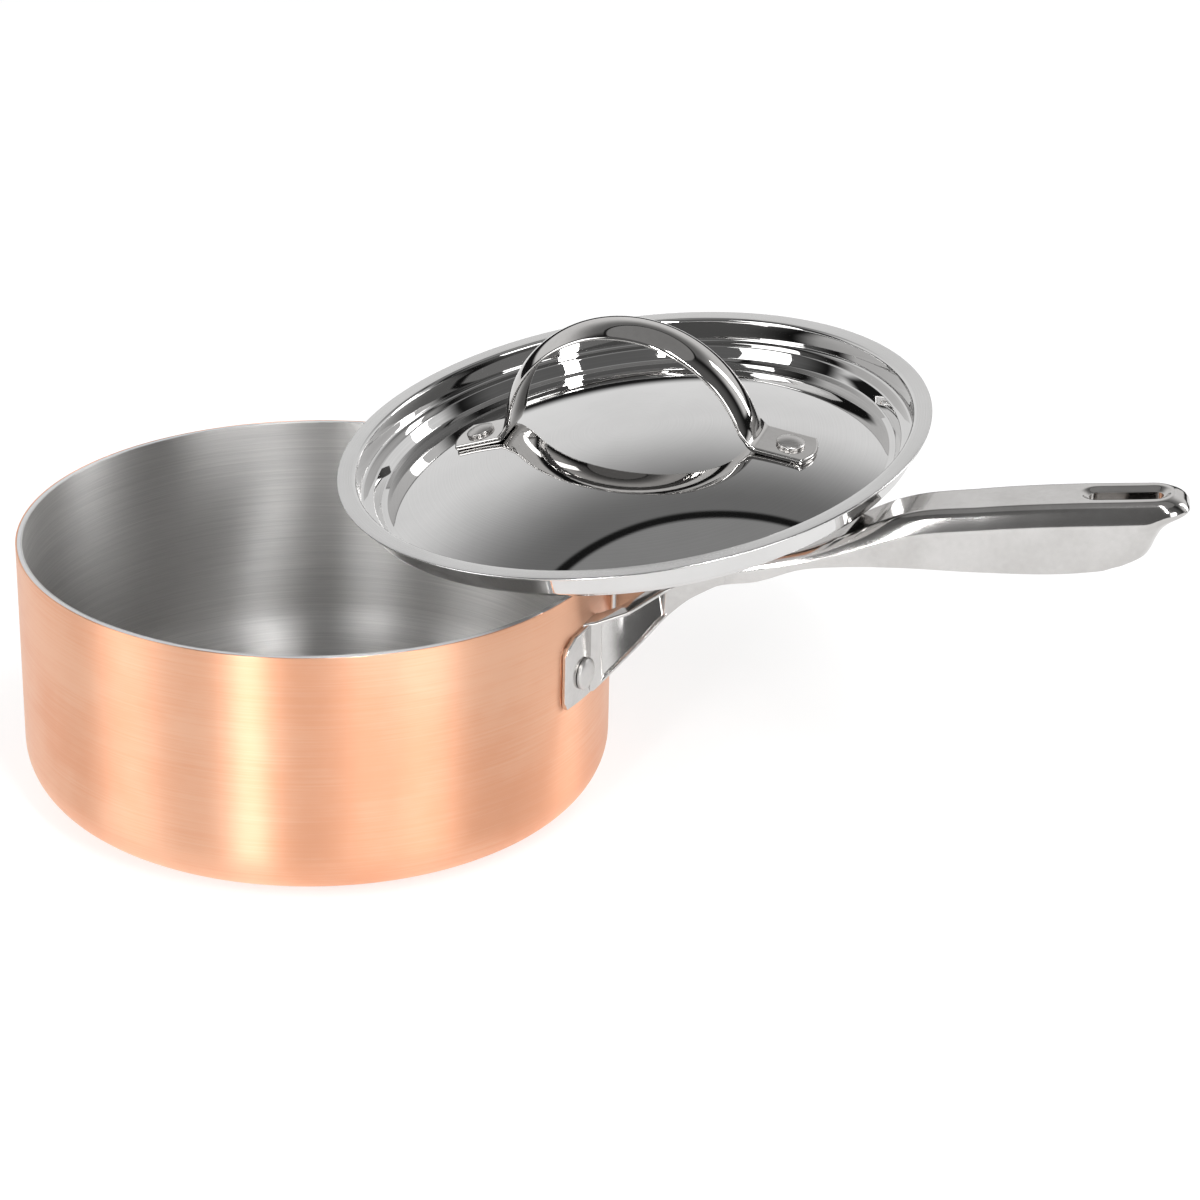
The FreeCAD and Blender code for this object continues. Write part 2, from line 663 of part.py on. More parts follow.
def make_lid_shell():
    """One sheet turned to a flat flange, a plug wall, a ledge, a well and a low dome."""
    body = new_body("lid_shell")
    profile = new_sketch(body, "lid_profile", "XZ_Plane")
    sheet_gap = size("lid_sheet")
    ledge = f"({sheet_gap} - Sizes.plug_depth)"
    outline(profile, [
        ("0", f"(Sizes.dome_rise - {sheet_gap})", DOME_RADIUS, -1),
        (CREASE_RADIUS, f"(0 - {RING_DEPTH})"),
        (RING_RADIUS, f"(0 - {RING_DEPTH})"),
        (f"({LEDGE_INNER} + {sheet_gap} * 0.8)", "(0 - Sizes.plug_depth)"),
        (PLUG_RADIUS, "(0 - Sizes.plug_depth)"),
        (PLUG_RADIUS, f"(0 - {sheet_gap})"),
        (FLANGE_RADIUS, f"(0 - {sheet_gap})"),
        (FLANGE_RADIUS, "0"),
        (FLANGE_INNER, "0", size("flange_bend"), 1),
        (f"({PLUG_RADIUS} - {sheet_gap})", "(0 - Sizes.flange_bend)"),
        (f"({PLUG_RADIUS} - {sheet_gap})", ledge),
        (LEDGE_INNER, ledge),
        (WELL_RADIUS, "(0 - Sizes.well_depth)"),
        (CREASE_RADIUS, "(0 - Sizes.well_depth)", DOME_RADIUS, 1),
        ("0", size("dome_rise")),
    ])
    revolve(body, "lid_turned", profile)
    drill_for_loop(body, "lid_hole")
    body.setExpression("Placement", LID_PLACEMENT)
    return body


def rivet_seat(body, name):
    """A sketch square to the dome where the loop's first rivet stands."""
    return new_sketch(body, name, "XY_Plane",
                      offset={"x": size("loop_rivet_reach"), "z": f"-1 * {DOME_DROP}"},
                      turn=(V(0, 1, 0), TAB_SLOPE))


def pair(body, name, originals):
    """Repeat features half a turn round the lid's axis."""
    pattern = body.newObject("PartDesign::PolarPattern", name)
    pattern.Originals = originals
    pattern.Axis = (origin_plane(body, "Z_Axis"), [""])
    pattern.Angle = 360.0
    pattern.Occurrences = 2
    body.Tip = pattern


def drill_for_loop(body, name):
    """Two holes for the loop's rivets."""
    hole = rivet_seat(body, name)
    circle(hole, "0", "0", "Sizes.loop_rivet_shank / 2")
    drilled = pocket(body, f"{name}_drilling", hole, length="12", midplane=True)
    pair(body, f"{name}_pair", [drilled])


def make_loop():
    """A strap arched over the lid: a crescent in section, with a flat tab at each foot."""
    body = new_body("lid_loop_handle")
    half = "(Sizes.strap_width / 2)"
    top = "(Sizes.loop_half_span + Sizes.strap_thickness / 2)"
    hollow = "(Sizes.strap_crown + Sizes.strap_edge - Sizes.strap_thickness)"
    outer_edge = f"({top} - Sizes.strap_crown)"
    inner_edge = f"({outer_edge} - Sizes.strap_edge)"
    foot_height = (f"(Sizes.dome_rise - {DOME_RADIUS} + sqrt({DOME_RADIUS} ^ 2"
                   f" - {inner_edge} ^ 2) + Sizes.tab_clearance)")
    short = f"asin(({foot_height} - Sizes.loop_rise + Sizes.loop_half_span) / {inner_edge})"
    crescent = new_sketch(body, "strap_section", "YZ_Plane",
                          offset={"y": "Sizes.loop_rise - Sizes.loop_half_span"})
    outline(crescent, [
        (f"(0 - {half})", inner_edge, bow(half, hollow), -1),
        (half, inner_edge),
        (half, outer_edge, bow(half, "Sizes.strap_crown"), 1),
        (f"(0 - {half})", outer_edge),
    ])
    arch = revolve(body, "loop_arch", crescent, "H_Axis")
    arch.Midplane = True
    arch.setExpression("Angle", f"180 deg - 2 * {short}")
    tab = rivet_seat(body, "tab_outline")
    foot = (f"(-1 * (Sizes.loop_rivet_reach - Sizes.loop_half_span) / cos({TAB_SLOPE})"
            " - Sizes.tab_lap)")
    corner = "(Sizes.tab_end - Sizes.tab_end_bow)"
    outline(tab, [
        (foot, f"(0 - {half})"),
        (corner, f"(0 - {half})", bow(half, "Sizes.tab_end_bow"), 1),
        (corner, half),
        (foot, half),
    ])
    flat = pad(body, "tab", tab, size("tab_thickness"))
    pair(body, "tabs", [flat])
    drill_for_loop(body, "tab_hole")
    body.setExpression("Placement", LID_PLACEMENT)
    return body


def bow(half, rise):
    """The radius of an arc from its half chord and its rise."""
    return f"(({half} ^ 2 + ({rise}) ^ 2) / (2 * ({rise})))"


def make_loop_rivet(name, turn):
    """A rivet through a tab and the lid; turn is how far round the lid's axis it is."""
    body = new_body(name)
    rivet_profile(body, name, "(Sizes.loop_rivet_head / 2)", size("loop_rivet_shank"),
                  "(Sizes.tab_thickness + Sizes.lid_sheet + Sizes.rivet_foot_gap)",
                  size("loop_rivet_head_height"), size("loop_rivet_foot_height"))
    body.setExpression("Placement", (
        f"{LID_PLACEMENT} * placement(vector(0; 0; 0); rotation(vector(0; 0; 1); {turn}))"
        f" * placement(vector(Sizes.loop_rivet_reach; 0; -1 * {DOME_DROP});"
        f" rotation(vector(0; 1; 0); {TAB_SLOPE}))"
        " * placement(vector(0; 0; Sizes.tab_thickness); rotation(vector(0; 0; 1); 0))"))
    return body


# ---------------------------------------------------------------- build, check and export
def check(item):
    """Stop if a feature failed or a piece has no valid solid."""
    if "Invalid" in item.State or "Error" in item.State:
        raise RuntimeError(f"{item.Label} failed: {item.State}")
    if item.TypeId != "PartDesign::Body":
        return
    if item.Shape.isNull() or not item.Shape.isValid() or len(item.Shape.Solids) != 1:
        raise RuntimeError(f"{item.Label} is not one valid solid")


fill_sheet()
make_layer("pan_copper_shell", "0", size("copper_thickness"))
make_layer("pan_aluminium_core", size("copper_thickness"), size("core_thickness"))
make_layer("pan_steel_liner", "(Sizes.copper_thickness + Sizes.core_thickness)",
           size("liner_thickness"))
make_long_handle()
make_handle_rivet("handle_rivet_left", "1")
make_handle_rivet("handle_rivet_right", "(0 - 1)")
make_lid_shell()
make_loop()
make_loop_rivet("lid_rivet_right", "0")
make_loop_rivet("lid_rivet_left", "180")
doc.recompute()

for item in doc.Objects:
    check(item)
os.makedirs(PARTS_FOLDER, exist_ok=True)
for item in doc.Objects:
    if item.TypeId == "PartDesign::Body":
        item.Shape.exportStep(f"{PARTS_FOLDER}/{item.Label}.step")
        print(f"{item.Label}: {item.Shape.Volume:.0f} cubic millimetres")
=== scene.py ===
# %% [markdown]
# # A copper saucepan with its lid leaning on it
#
# The pan is three bonded layers of sheet: copper outside, aluminium in the middle and a
# brushed steel liner.  A cast steel handle is riveted to the wall by two plates.  The lid
# is one turned sheet with an arched strap riveted on, and it leans on the rim and on the
# handle.  This script rebuilds every piece as a smooth surface, gives each its finish, and
# lights them in a plain studio.
#
# Lengths are written in millimetres and turned into metres when a mesh is made.

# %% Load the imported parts
import json
import bpy
import numpy as np
from mathutils import Matrix


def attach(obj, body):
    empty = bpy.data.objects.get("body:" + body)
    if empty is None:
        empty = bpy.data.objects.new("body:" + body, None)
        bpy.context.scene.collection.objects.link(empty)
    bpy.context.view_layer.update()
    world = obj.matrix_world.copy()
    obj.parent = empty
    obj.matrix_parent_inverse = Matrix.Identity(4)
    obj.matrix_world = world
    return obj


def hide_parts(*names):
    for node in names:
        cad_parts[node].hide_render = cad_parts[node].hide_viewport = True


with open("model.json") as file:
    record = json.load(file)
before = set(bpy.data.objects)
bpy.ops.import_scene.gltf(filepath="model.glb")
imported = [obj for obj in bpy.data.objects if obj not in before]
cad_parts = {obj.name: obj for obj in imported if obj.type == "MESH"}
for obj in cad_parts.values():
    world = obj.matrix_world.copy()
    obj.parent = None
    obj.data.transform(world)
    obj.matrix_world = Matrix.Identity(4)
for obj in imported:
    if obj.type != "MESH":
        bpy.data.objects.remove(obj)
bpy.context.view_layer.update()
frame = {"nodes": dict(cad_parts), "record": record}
print("nodes:", sorted(frame["nodes"]))

# %% [markdown]
# ## The sizes the pieces share
#
# The pan is drawn round the Z axis with its base at height zero, and the long handle runs
# along +X.  The lid has a frame of its own: flange flat, loop along X.  How that frame
# leans follows from what it touches.  The ring under the lid's well rests on the inside
# of the rim at one point and on top of the handle at another, so its slope is the height
# between the two points over the distance between them, measured up the slope.

# %% Sizes
MM = 0.001
PAN_RADIUS, PAN_HEIGHT, BASE_CORNER = 100.0, 88.2, 17.5
COPPER, CORE, LINER = 0.5, 1.3, 0.5
WALL = COPPER + CORE + LINER
INNER_RADIUS = PAN_RADIUS - WALL
# the lid's sheet, from its edge inwards
SHEET, FLANGE_OVERHANG, PLUG_CLEARANCE, LEDGE_WIDTH = 0.9, 2.8, 0.7, 4.6
PLUG_DEPTH, WELL_DEPTH, DOME_RISE = 9.5, 12.6, 4.0
WELL_SLOPE, CREASE_WIDTH = 0.6, 2.0
UNDERSIDE_OUT = 0.8 * SHEET
FLANGE_RADIUS = PAN_RADIUS + FLANGE_OVERHANG
PLUG_RADIUS = INNER_RADIUS - PLUG_CLEARANCE
LEDGE_INNER = PLUG_RADIUS - SHEET - LEDGE_WIDTH
WELL_RADIUS = LEDGE_INNER - WELL_SLOPE * (WELL_DEPTH - PLUG_DEPTH + SHEET)
CREASE_RADIUS = WELL_RADIUS - CREASE_WIDTH
DOME_HEIGHT = WELL_DEPTH + DOME_RISE
DOME_RADIUS = (CREASE_RADIUS ** 2 + DOME_HEIGHT ** 2) / (2 * DOME_HEIGHT)
RING_RADIUS = WELL_RADIUS + UNDERSIDE_OUT
RING_DEPTH = WELL_DEPTH + SHEET
# how the lid leans
LEAN_HEADING, SHIFT_HEADING, LOOP_HEADING = np.radians([28.4, 25.4, -13.0])
LEAN_SHIFT, LID_GAP, REST_HIGH, REST_GAP = 14.0, 0.4, 15.2, 1.3
SHIFT = PAN_RADIUS + LEAN_SHIFT
# the bracket's plates, the rivets and the loop
PLATE_THICKNESS = 2.0
PLATE_RADIUS = PAN_RADIUS + PLATE_THICKNESS
RIVET_ANGLE, RIVET_DROP = np.radians(19.2), 29.4
HANDLE_RIVET_HEAD, LOOP_RIVET_HEAD = 5.4, 4.9
LOOP_HALF_SPAN, LOOP_RISE, LOOP_REACH = 45.5, 42.7, 56.5
STRAP_WIDTH, TAB_THICKNESS = 17.5, 2.0


def axis_turn(axis, angle):
    """The 3 by 3 turn by an angle about a unit axis k: I + sin(a) K + (1 - cos(a)) K K."""
    k = np.array([[0, -axis[2], axis[1]], [axis[2], 0, -axis[0]], [-axis[1], axis[0], 0]])
    return np.eye(3) + np.sin(angle) * k + (1 - np.cos(angle)) * k @ k


def lid_frame():
    """Centre and turn of the lid's frame, from the two points its ring rests on.

    meet  = (R^2 - r^2 + s^2) / (2 s), reach = sqrt(R^2 - meet^2), where R is the pan's
    inner radius, r the ring's and s the distance between their axes;
    slope = height between the two rests / their distance up the slope.
    """
    between = LEAN_HEADING - SHIFT_HEADING
    meet = (INNER_RADIUS ** 2 - RING_RADIUS ** 2 + SHIFT ** 2) / (2 * SHIFT)
    reach = np.sqrt(INNER_RADIUS ** 2 - meet ** 2)
    climb = meet * np.cos(between) - reach * np.sin(between)
    sideways = SHIFT * np.sin(SHIFT_HEADING)
    rest = SHIFT * np.cos(SHIFT_HEADING) + np.sqrt(RING_RADIUS ** 2 - sideways ** 2)
    slope = (REST_HIGH + REST_GAP - LID_GAP) / (rest * np.cos(LEAN_HEADING) - climb)
    tilt = np.arctan(slope)
    uphill = np.array([np.cos(LEAN_HEADING), np.sin(LEAN_HEADING), 0])
    ring_height = PAN_HEIGHT + LID_GAP + (SHIFT * np.cos(between) - climb) * slope
    centre = np.array([SHIFT * np.cos(SHIFT_HEADING), sideways, ring_height])
    centre += RING_DEPTH * (np.sin(tilt) * -uphill + [0, 0, np.cos(tilt)])
    level = np.array([-uphill[1], uphill[0], 0])
    turn = axis_turn(level, -tilt) @ axis_turn(np.array([0, 0, 1.0]), LOOP_HEADING)
    return centre, turn, rest


LID_CENTRE, LID_TURN, REST = lid_frame()
print("lid centre:", LID_CENTRE.round(2), "rests at x =", round(float(REST), 2))

# %% [markdown]
# ## Turning curves into closed surfaces
#
# Every new piece is a grid of points: one direction runs round the piece and the other
# along it.  Points that fall together, at a pole or a seam, are joined, and squares that
# lose a corner become triangles, so each surface closes without gaps.  A last test of the
# enclosed volume turns the faces outwards.


# %% Mesh helpers
def weld(grid):
    """Vertices and faces of a grid (rows, columns, 3): coincident points become one.

    Squares join each row to the next and each column to the next, the last column to the
    first.  A square that lost one corner becomes a triangle, and one that lost more goes.
    """
    rows, columns = grid.shape[:2]
    flat = grid.reshape(-1, 3)
    _, first, label = np.unique(np.round(flat, 4), axis=0, return_index=True,
                                return_inverse=True)
    label = label.reshape(rows, columns)
    label = np.concatenate([label, label[:, :1]], axis=1)
    quads = np.stack([label[:-1, :-1], label[1:, :-1], label[1:, 1:], label[:-1, 1:]], -1)
    quads = quads.reshape(-1, 4)
    following = np.roll(quads, -1, axis=1)
    lost = quads == following
    whole = quads[~lost.any(axis=1)]
    triangles = [np.roll(quads[lost[:, k] & (lost.sum(axis=1) == 1)], -k, axis=1)[:, 1:]
                 for k in range(4)]
    return flat[first], whole, np.concatenate(triangles)


def volume(points, faces):
    """Six times the enclosed volume: the sum of a . (b x c) over each face's fan."""
    a, b, c = points[faces[:, 0]], points[faces[:, 1]], points[faces[:, 2]]
    total = np.einsum("ij,ij->i", a, np.cross(b, c)).sum()
    if faces.shape[1] == 4:
        d = points[faces[:, 3]]
        total += np.einsum("ij,ij->i", a, np.cross(c, d)).sum()
    return total


def add_object(name, data):
    """A new object at the origin, linked into the scene."""
    thing = bpy.data.objects.new(name, data)
    bpy.context.scene.collection.objects.link(thing)
    return thing


def make_piece(name, grid):
    """A smooth mesh object from a grid in millimetres, faces turned outwards."""
    points, quads, triangles = weld(grid)
    if volume(points, quads) + volume(points, triangles) < 0:
        quads, triangles = quads[:, ::-1], triangles[:, ::-1]
    mesh = bpy.data.meshes.new(name)
    mesh.from_pydata((points * MM).tolist(), [], quads.tolist() + triangles.tolist())
    mesh.polygons.foreach_set("use_smooth", np.ones(len(mesh.polygons), bool))
    mesh.validate()
    piece = add_object(name, mesh)
    print(f"{name}: {len(points)} points, {len(quads) + len(triangles)} faces")
    return piece


def fillet(corners, radii, steps=8, spacing=4.0):
    """A polyline whose corners are replaced by arcs.

    At a corner of half turn h the arc starts r tan(h) before it; its points are
    centre + r (cos, sin) swept between the two tangents.  Long straights get extra points.
    """
    corners = np.array(corners, float)
    out = [corners[:1]]
    for here, radius in zip(range(1, len(corners) - 1), radii):
        before = corners[here - 1] - corners[here]
        after = corners[here + 1] - corners[here]
        before, after = before / np.linalg.norm(before), after / np.linalg.norm(after)
        half = np.arccos(np.clip(before @ after, -1, 1)) / 2
        start = corners[here] + before * radius / np.tan(half)
        middle = before + after
        centre = corners[here] + middle / np.linalg.norm(middle) * radius / np.sin(half)
        out.append(slerp(start - centre, corners[here] + after * radius / np.tan(half)
                         - centre, steps) + centre)
    out.append(corners[-1:])
    return densify(np.concatenate(out), spacing)


def slerp(a, b, steps):
    """Points from a to b at constant radius: (sin((1-t) w) a + sin(t w) b) / sin(w)."""
    w = np.arccos(np.clip(a @ b / (np.linalg.norm(a) * np.linalg.norm(b)), -1, 1))
    t = np.linspace(0, 1, steps + 1)[:, None]
    return (np.sin((1 - t) * w) * a + np.sin(t * w) * b) / np.sin(w)


def densify(line, spacing):
    """The same line with no step longer than the spacing."""
    parts = []
    for a, b in zip(line[:-1], line[1:]):
        count = max(1, int(np.ceil(np.linalg.norm(b - a) / spacing)))
        parts.append(a + (b - a) * np.linspace(0, 1, count, endpoint=False)[:, None])
    return np.concatenate(parts + [line[-1:]])


def ramp(value, low, high):
    """Smooth step from 0 at low to 1 at high: t t (3 - 2 t)."""
    t = np.clip((value - low) / (high - low), 0, 1)
    return t * t * (3 - 2 * t)


def turned(profile, segments=240):
    """Turn a profile of (radius, height) round Z: (r cos a, r sin a, z)."""
    angle = np.linspace(0, 2 * np.pi, segments, endpoint=False)
    r, z = profile[:, 0][:, None], profile[:, 1][:, None]
    return np.stack([r * np.cos(angle), r * np.sin(angle), z + 0 * angle], axis=-1)


def placed(grid, turn, centre):
    """Carry a grid from its own frame into the shared one: turn . p + centre."""
    return grid @ turn.T + centre


# %% [markdown]
# ## The pan
#
# A bonded sheet is drawn into a bowl, so every layer is the same profile moved inwards.
# The layers meet face to face and show only at the rim, where the copper is a thin warm
# line beside two pale ones.  The rim is ground, which leaves its edges barely broken.  A
# turned profile is chosen over a bevelled cylinder because each arc then has its own size.


# %% The three layers
def bowl(outside, thickness):
    """Profile of one layer: base, corner arc, wall, rim, and back inside to the axis."""
    outer, inner = PAN_RADIUS - outside, PAN_RADIUS - outside - thickness
    corner = BASE_CORNER - outside
    soft = min(RIM_ARC, thickness / 3)
    corners = [(0, outside), (outer, outside), (outer, PAN_HEIGHT), (inner, PAN_HEIGHT),
               (inner, outside + thickness), (0, outside + thickness)]
    radii = [corner, soft, soft, corner - thickness]
    return fillet(corners, radii, steps=14)


RIM_ARC = 0.16
LAYERS = {"pan_copper_shell": (0.0, COPPER), "pan_aluminium_core": (COPPER, CORE),
          "pan_steel_liner": (COPPER + CORE, LINER)}
pieces = {name: make_piece(f"{name}_turned", turned(bowl(*layer)))
          for name, layer in LAYERS.items()}

# %% [markdown]
# ## The lid's shell
#
# The sheet is spun over a former.  From the edge inwards it makes a flat flange, a plug
# wall that drops into the pan, a ledge, a short well and a low dome.  Spinning can't make
# a sharp bend, so each one is an arc about as large as the sheet is thick.


# %% The lid's shell
def dome(radius, drop):
    """Points of the dome's arc from the axis out to a radius, lowered by drop."""
    r = np.linspace(0, radius, 40)
    z = DOME_RISE - drop - DOME_RADIUS + np.sqrt(DOME_RADIUS ** 2 - r ** 2)
    return np.stack([r, z], axis=-1)


def lid_profile():
    """Upper face from the axis out to the flange's edge, then the lower face back in."""
    wall_inside = PLUG_RADIUS - SHEET
    ledge = SHEET - PLUG_DEPTH
    upper = fillet([dome(CREASE_RADIUS, 0)[-2], (CREASE_RADIUS, -WELL_DEPTH),
                    (WELL_RADIUS, -WELL_DEPTH), (LEDGE_INNER, ledge),
                    (wall_inside, ledge), (wall_inside, 0), (FLANGE_RADIUS, 0),
                    (FLANGE_RADIUS, -SHEET), (PLUG_RADIUS, -SHEET),
                    (PLUG_RADIUS, -PLUG_DEPTH), (LEDGE_INNER + UNDERSIDE_OUT, -PLUG_DEPTH),
                    (RING_RADIUS, -RING_DEPTH), (CREASE_RADIUS, -RING_DEPTH),
                    dome(CREASE_RADIUS, SHEET)[-2]],
                   BENDS, steps=8, spacing=2.0)
    return np.concatenate([dome(CREASE_RADIUS, 0)[:-2], upper,
                           dome(CREASE_RADIUS, SHEET)[:-2][::-1]])


BENDS = [0.7, 0.7, 0.8, 1.3, 1.3, 0.42, 0.42, 0.5, 1.2, 0.5, 0.9, 0.5]
pieces["lid_shell"] = make_piece(
    "lid_shell_spun", placed(turned(lid_profile(), 320), LID_TURN, LID_CENTRE))

# %% [markdown]
# ## The lid's loop
#
# The strap starts flat at a riveted tab, bends up sharply and arches over.  Along the
# arch its section is a crescent, full on the outside and hollow inside.  It is carried
# along a path of tab, bend, arch, bend and tab, and its thickness falls to nothing at
# both ends and both edges in quarter ellipses, which closes and softens it everywhere.


# %% The lid's loop
ARCH_END = np.radians(9)
CORNER_INSET, BEND_RADIUS, TAB_REACH = 0.15, 2.6, 9.5
BLEND_FROM, BLEND_RUN = 20.5, 7.0
EDGE_THICKNESS, MIDDLE_EXTRA, CRESCENT_DROP, STRAP_EDGE = 1.0, 1.4, 2.5, 0.55
TAB_BOW, TAB_BOW_RUN = 2.6, 10.0


def dome_seat():
    """Lean and height of the dome at the loop's rivets: asin(x / R), rise - R + sqrt(R^2 - x^2)."""
    lean = np.arcsin(LOOP_REACH / DOME_RADIUS)
    height = DOME_RISE - DOME_RADIUS + np.sqrt(DOME_RADIUS ** 2 - LOOP_REACH ** 2)
    return lean, height


def strap():
    """P(s, t) = C(s) + n(s) (m(y, s) +- h(y, s)) + y Y, with y = (width / 2) cos t.

    m is the crescent's mid line and h half its thickness; c(s) goes from 0 on the tabs
    to 1 on the arch, and s is the distance along the path.
    """
    lean, height = dome_seat()
    along = np.array([np.cos(lean), -np.sin(lean)])
    seat = np.array([LOOP_REACH, height])
    seat = seat + np.array([np.sin(lean), np.cos(lean)]) * TAB_THICKNESS / 2
    centre_height = LOOP_RISE - LOOP_HALF_SPAN
    angle = np.linspace(np.pi / 2, ARCH_END, 60)
    arch = np.stack([LOOP_HALF_SPAN * np.cos(angle),
                     LOOP_HALF_SPAN * np.sin(angle) + centre_height], axis=-1)
    corner_x = LOOP_HALF_SPAN - CORNER_INSET
    corner = seat + along * (corner_x - seat[0]) / along[0]
    bend = fillet([arch[-1], corner, seat + along * TAB_REACH], [BEND_RADIUS], steps=12,
                  spacing=0.6)
    right = np.concatenate([arch[:-1], bend])
    left = right[::-1] * [-1, 1]
    path = np.concatenate([left[:-1], right])
    step = np.linalg.norm(np.diff(path, axis=0), axis=1)
    s = np.concatenate([[0], np.cumsum(step)])
    total = s[-1]
    tangent = np.gradient(path, axis=0)
    tangent /= np.linalg.norm(tangent, axis=1)[:, None]
    normal = np.stack([-tangent[:, 1], tangent[:, 0]], axis=-1)
    from_end = np.minimum(s, total - s)
    blend = ramp(from_end, BLEND_FROM, BLEND_FROM + BLEND_RUN)[:, None]
    turn = np.linspace(0, 2 * np.pi, 96, endpoint=False)
    half = STRAP_WIDTH / 2
    y = half * np.cos(turn)
    edge = 1 - (y / half) ** 2
    crescent = EDGE_THICKNESS + MIDDLE_EXTRA * edge
    thick = TAB_THICKNESS + blend * (crescent - TAB_THICKNESS)
    mid = blend * -CRESCENT_DROP * (1 - edge)
    near = np.clip((np.abs(y) - half + STRAP_EDGE) / STRAP_EDGE, 0, 1)
    tip = np.clip((STRAP_EDGE - from_end) / STRAP_EDGE, 0, 1)[:, None]
    thick = thick * np.sqrt(1 - near ** 2) * np.sqrt(1 - tip ** 2)
    off = mid + np.sign(np.sin(turn).round(9)) * thick / 2
    at_end = np.clip(1 - from_end / TAB_BOW_RUN, 0, 1)[:, None]
    bow = TAB_BOW * (1 - edge) * at_end * np.where(s < total / 2, 1, -1)[:, None]
    x = path[:, :1] + tangent[:, :1] * bow + normal[:, :1] * off
    z = path[:, 1:] + tangent[:, 1:] * bow + normal[:, 1:] * off
    return np.stack([x, y + 0 * x, z], axis=-1)


pieces["lid_loop_handle"] = make_piece(
    "lid_loop_strap", placed(strap(), LID_TURN, LID_CENTRE))

# %% [markdown]
# ## The rivets
#
# Each rivet has a domed head outside, a shank through the sheets, and a low foot closed
# down on the inside.  The handle's two lie along radii of the pan, and the loop's two
# stand square to the dome.  All four share one turned profile with different sizes.


# %% The rivets
HANDLE_SHANK, HANDLE_HEAD_RISE, HANDLE_FOOT = 3.0, 2.3, 1.6
LOOP_SHANK, LOOP_HEAD_RISE, LOOP_FOOT, FOOT_GAP = 2.5, 2.2, 1.2, 0.06
DOME_SHARE, SHOULDER_SHARE = 0.93, 0.42


def rivet(radius, shank, length, head, foot):
    """Profile of a rivet with its head's seat at height zero: foot, shank, domed head.

    The dome is an arc of sagitta s = head / 2, so its radius is radius^2 / (2 s) + s / 2.
    """
    crown = radius ** 2 / head + head / 4
    r = np.linspace(0, radius * DOME_SHARE, 16)
    top = np.stack([r, head - crown + np.sqrt(crown ** 2 - r ** 2)], axis=-1)
    side = fillet([top[-1], (radius, head * SHOULDER_SHARE), (radius, 0), (shank, 0),
                   (shank, -length), (radius, -length), (radius, -length - foot),
                   (0, -length - foot)],
                  [0.3, 0.15, 0.1, 0.1, 0.1, foot * 0.6], steps=6, spacing=1.0)
    return np.concatenate([top[:-1], side])


def make_handle_rivet(name, side):
    """Stand a rivet on the bracket plate, its axis along the pan's radius."""
    angle = side * RIVET_ANGLE
    out = np.array([np.cos(angle), np.sin(angle), 0])
    across = np.array([-np.sin(angle), np.cos(angle), 0])
    turn = np.stack([across, [0, 0, 1], out], axis=1)
    seat = np.sqrt(INNER_RADIUS ** 2 - HANDLE_RIVET_HEAD ** 2)
    profile = rivet(HANDLE_RIVET_HEAD, HANDLE_SHANK, PLATE_RADIUS - seat,
                    HANDLE_HEAD_RISE, HANDLE_FOOT)
    place = out * PLATE_RADIUS + [0, 0, PAN_HEIGHT - RIVET_DROP]
    return make_piece(f"{name}_turned", placed(turned(profile, 96), turn, place))


def make_loop_rivet(name, side):
    """Stand a rivet on a tab of the loop, square to the dome."""
    lean, height = dome_seat()
    up = np.array([side * np.sin(lean), 0, np.cos(lean)])
    place = np.array([side * LOOP_REACH, 0, height]) + up * TAB_THICKNESS
    turn = axis_turn(np.array([0, 1.0, 0]), side * lean)
    profile = rivet(LOOP_RIVET_HEAD, LOOP_SHANK, TAB_THICKNESS + SHEET + FOOT_GAP,
                    LOOP_HEAD_RISE, LOOP_FOOT)
    grid = placed(turned(profile, 96), turn, place)
    return make_piece(f"{name}_turned", placed(grid, LID_TURN, LID_CENTRE))


for name, make, side in (("handle_rivet_left", make_handle_rivet, 1),
                         ("handle_rivet_right", make_handle_rivet, -1),
                         ("lid_rivet_right", make_loop_rivet, 1),
                         ("lid_rivet_left", make_loop_rivet, -1)):
    pieces[name] = make(name, side)

# %% [markdown]
# ## The long handle
#
# The handle is one casting.  Two plates follow the wall, two arms come off them and join
# in a fork, and the grip rises from the fork, open underneath like a channel.  It is built
# as a grip, two arms and two plates that run into each other.  The grip is a section
# carried along X, which suits a bar that swells and thins better than a bent block: its
# width, lowest and highest lines and corner radius are read from a few stations, joined by
# smooth curves.  The hanging slot is cut last, straight down through its top.


# %% Grip
STATIONS = np.array([
    # along, lowest and highest line above the rim, half width, top edge radius
    (116.0, -21.5, -8.2, 11.5, 1.0), (124.0, -12.2, -4.6, 11.6, 1.6),
    (136.0, -6.2, 0.2, 9.0, 2.0), (150.0, -3.3, 4.2, 8.8, 2.8),
    (164.2, 2.3, 8.6, 9.3, 3.2), (178.3, 4.7, 15.2, 10.4, 4.4),
    (196.0, 6.3, 23.8, 11.5, 5.5), (222.0, 7.1, 28.7, 12.3, 5.5),
    (250.0, 8.9, 32.3, 12.6, 5.5), (276.0, 13.6, 34.6, 12.4, 5.5),
    (292.0, 16.5, 35.8, 12.0, 5.5)])
HOLLOW_FROM, HOLLOW_TO, HANDLE_WALL = 165.0, 274.0, 2.8
HOLLOW_FADE_IN, HOLLOW_FADE_OUT = 14, 5
SHOULDER_WIDTH, SHOULDER_HEIGHT, SHOULDER_TURN = 0.84, 1.3, np.radians(62)
SOLID_LIP, CHANNEL_LIP, SOLID_CROWN, CHANNEL_CROWN = 0.25, 0.55, 0.02, 2.0
SLOT_MIDDLE, SLOT_RUN, SLOT_HALF = REST + 89.7, 8.8, 3.2
SLOT_FLOOR, SLOT_CEILING = 90, 140
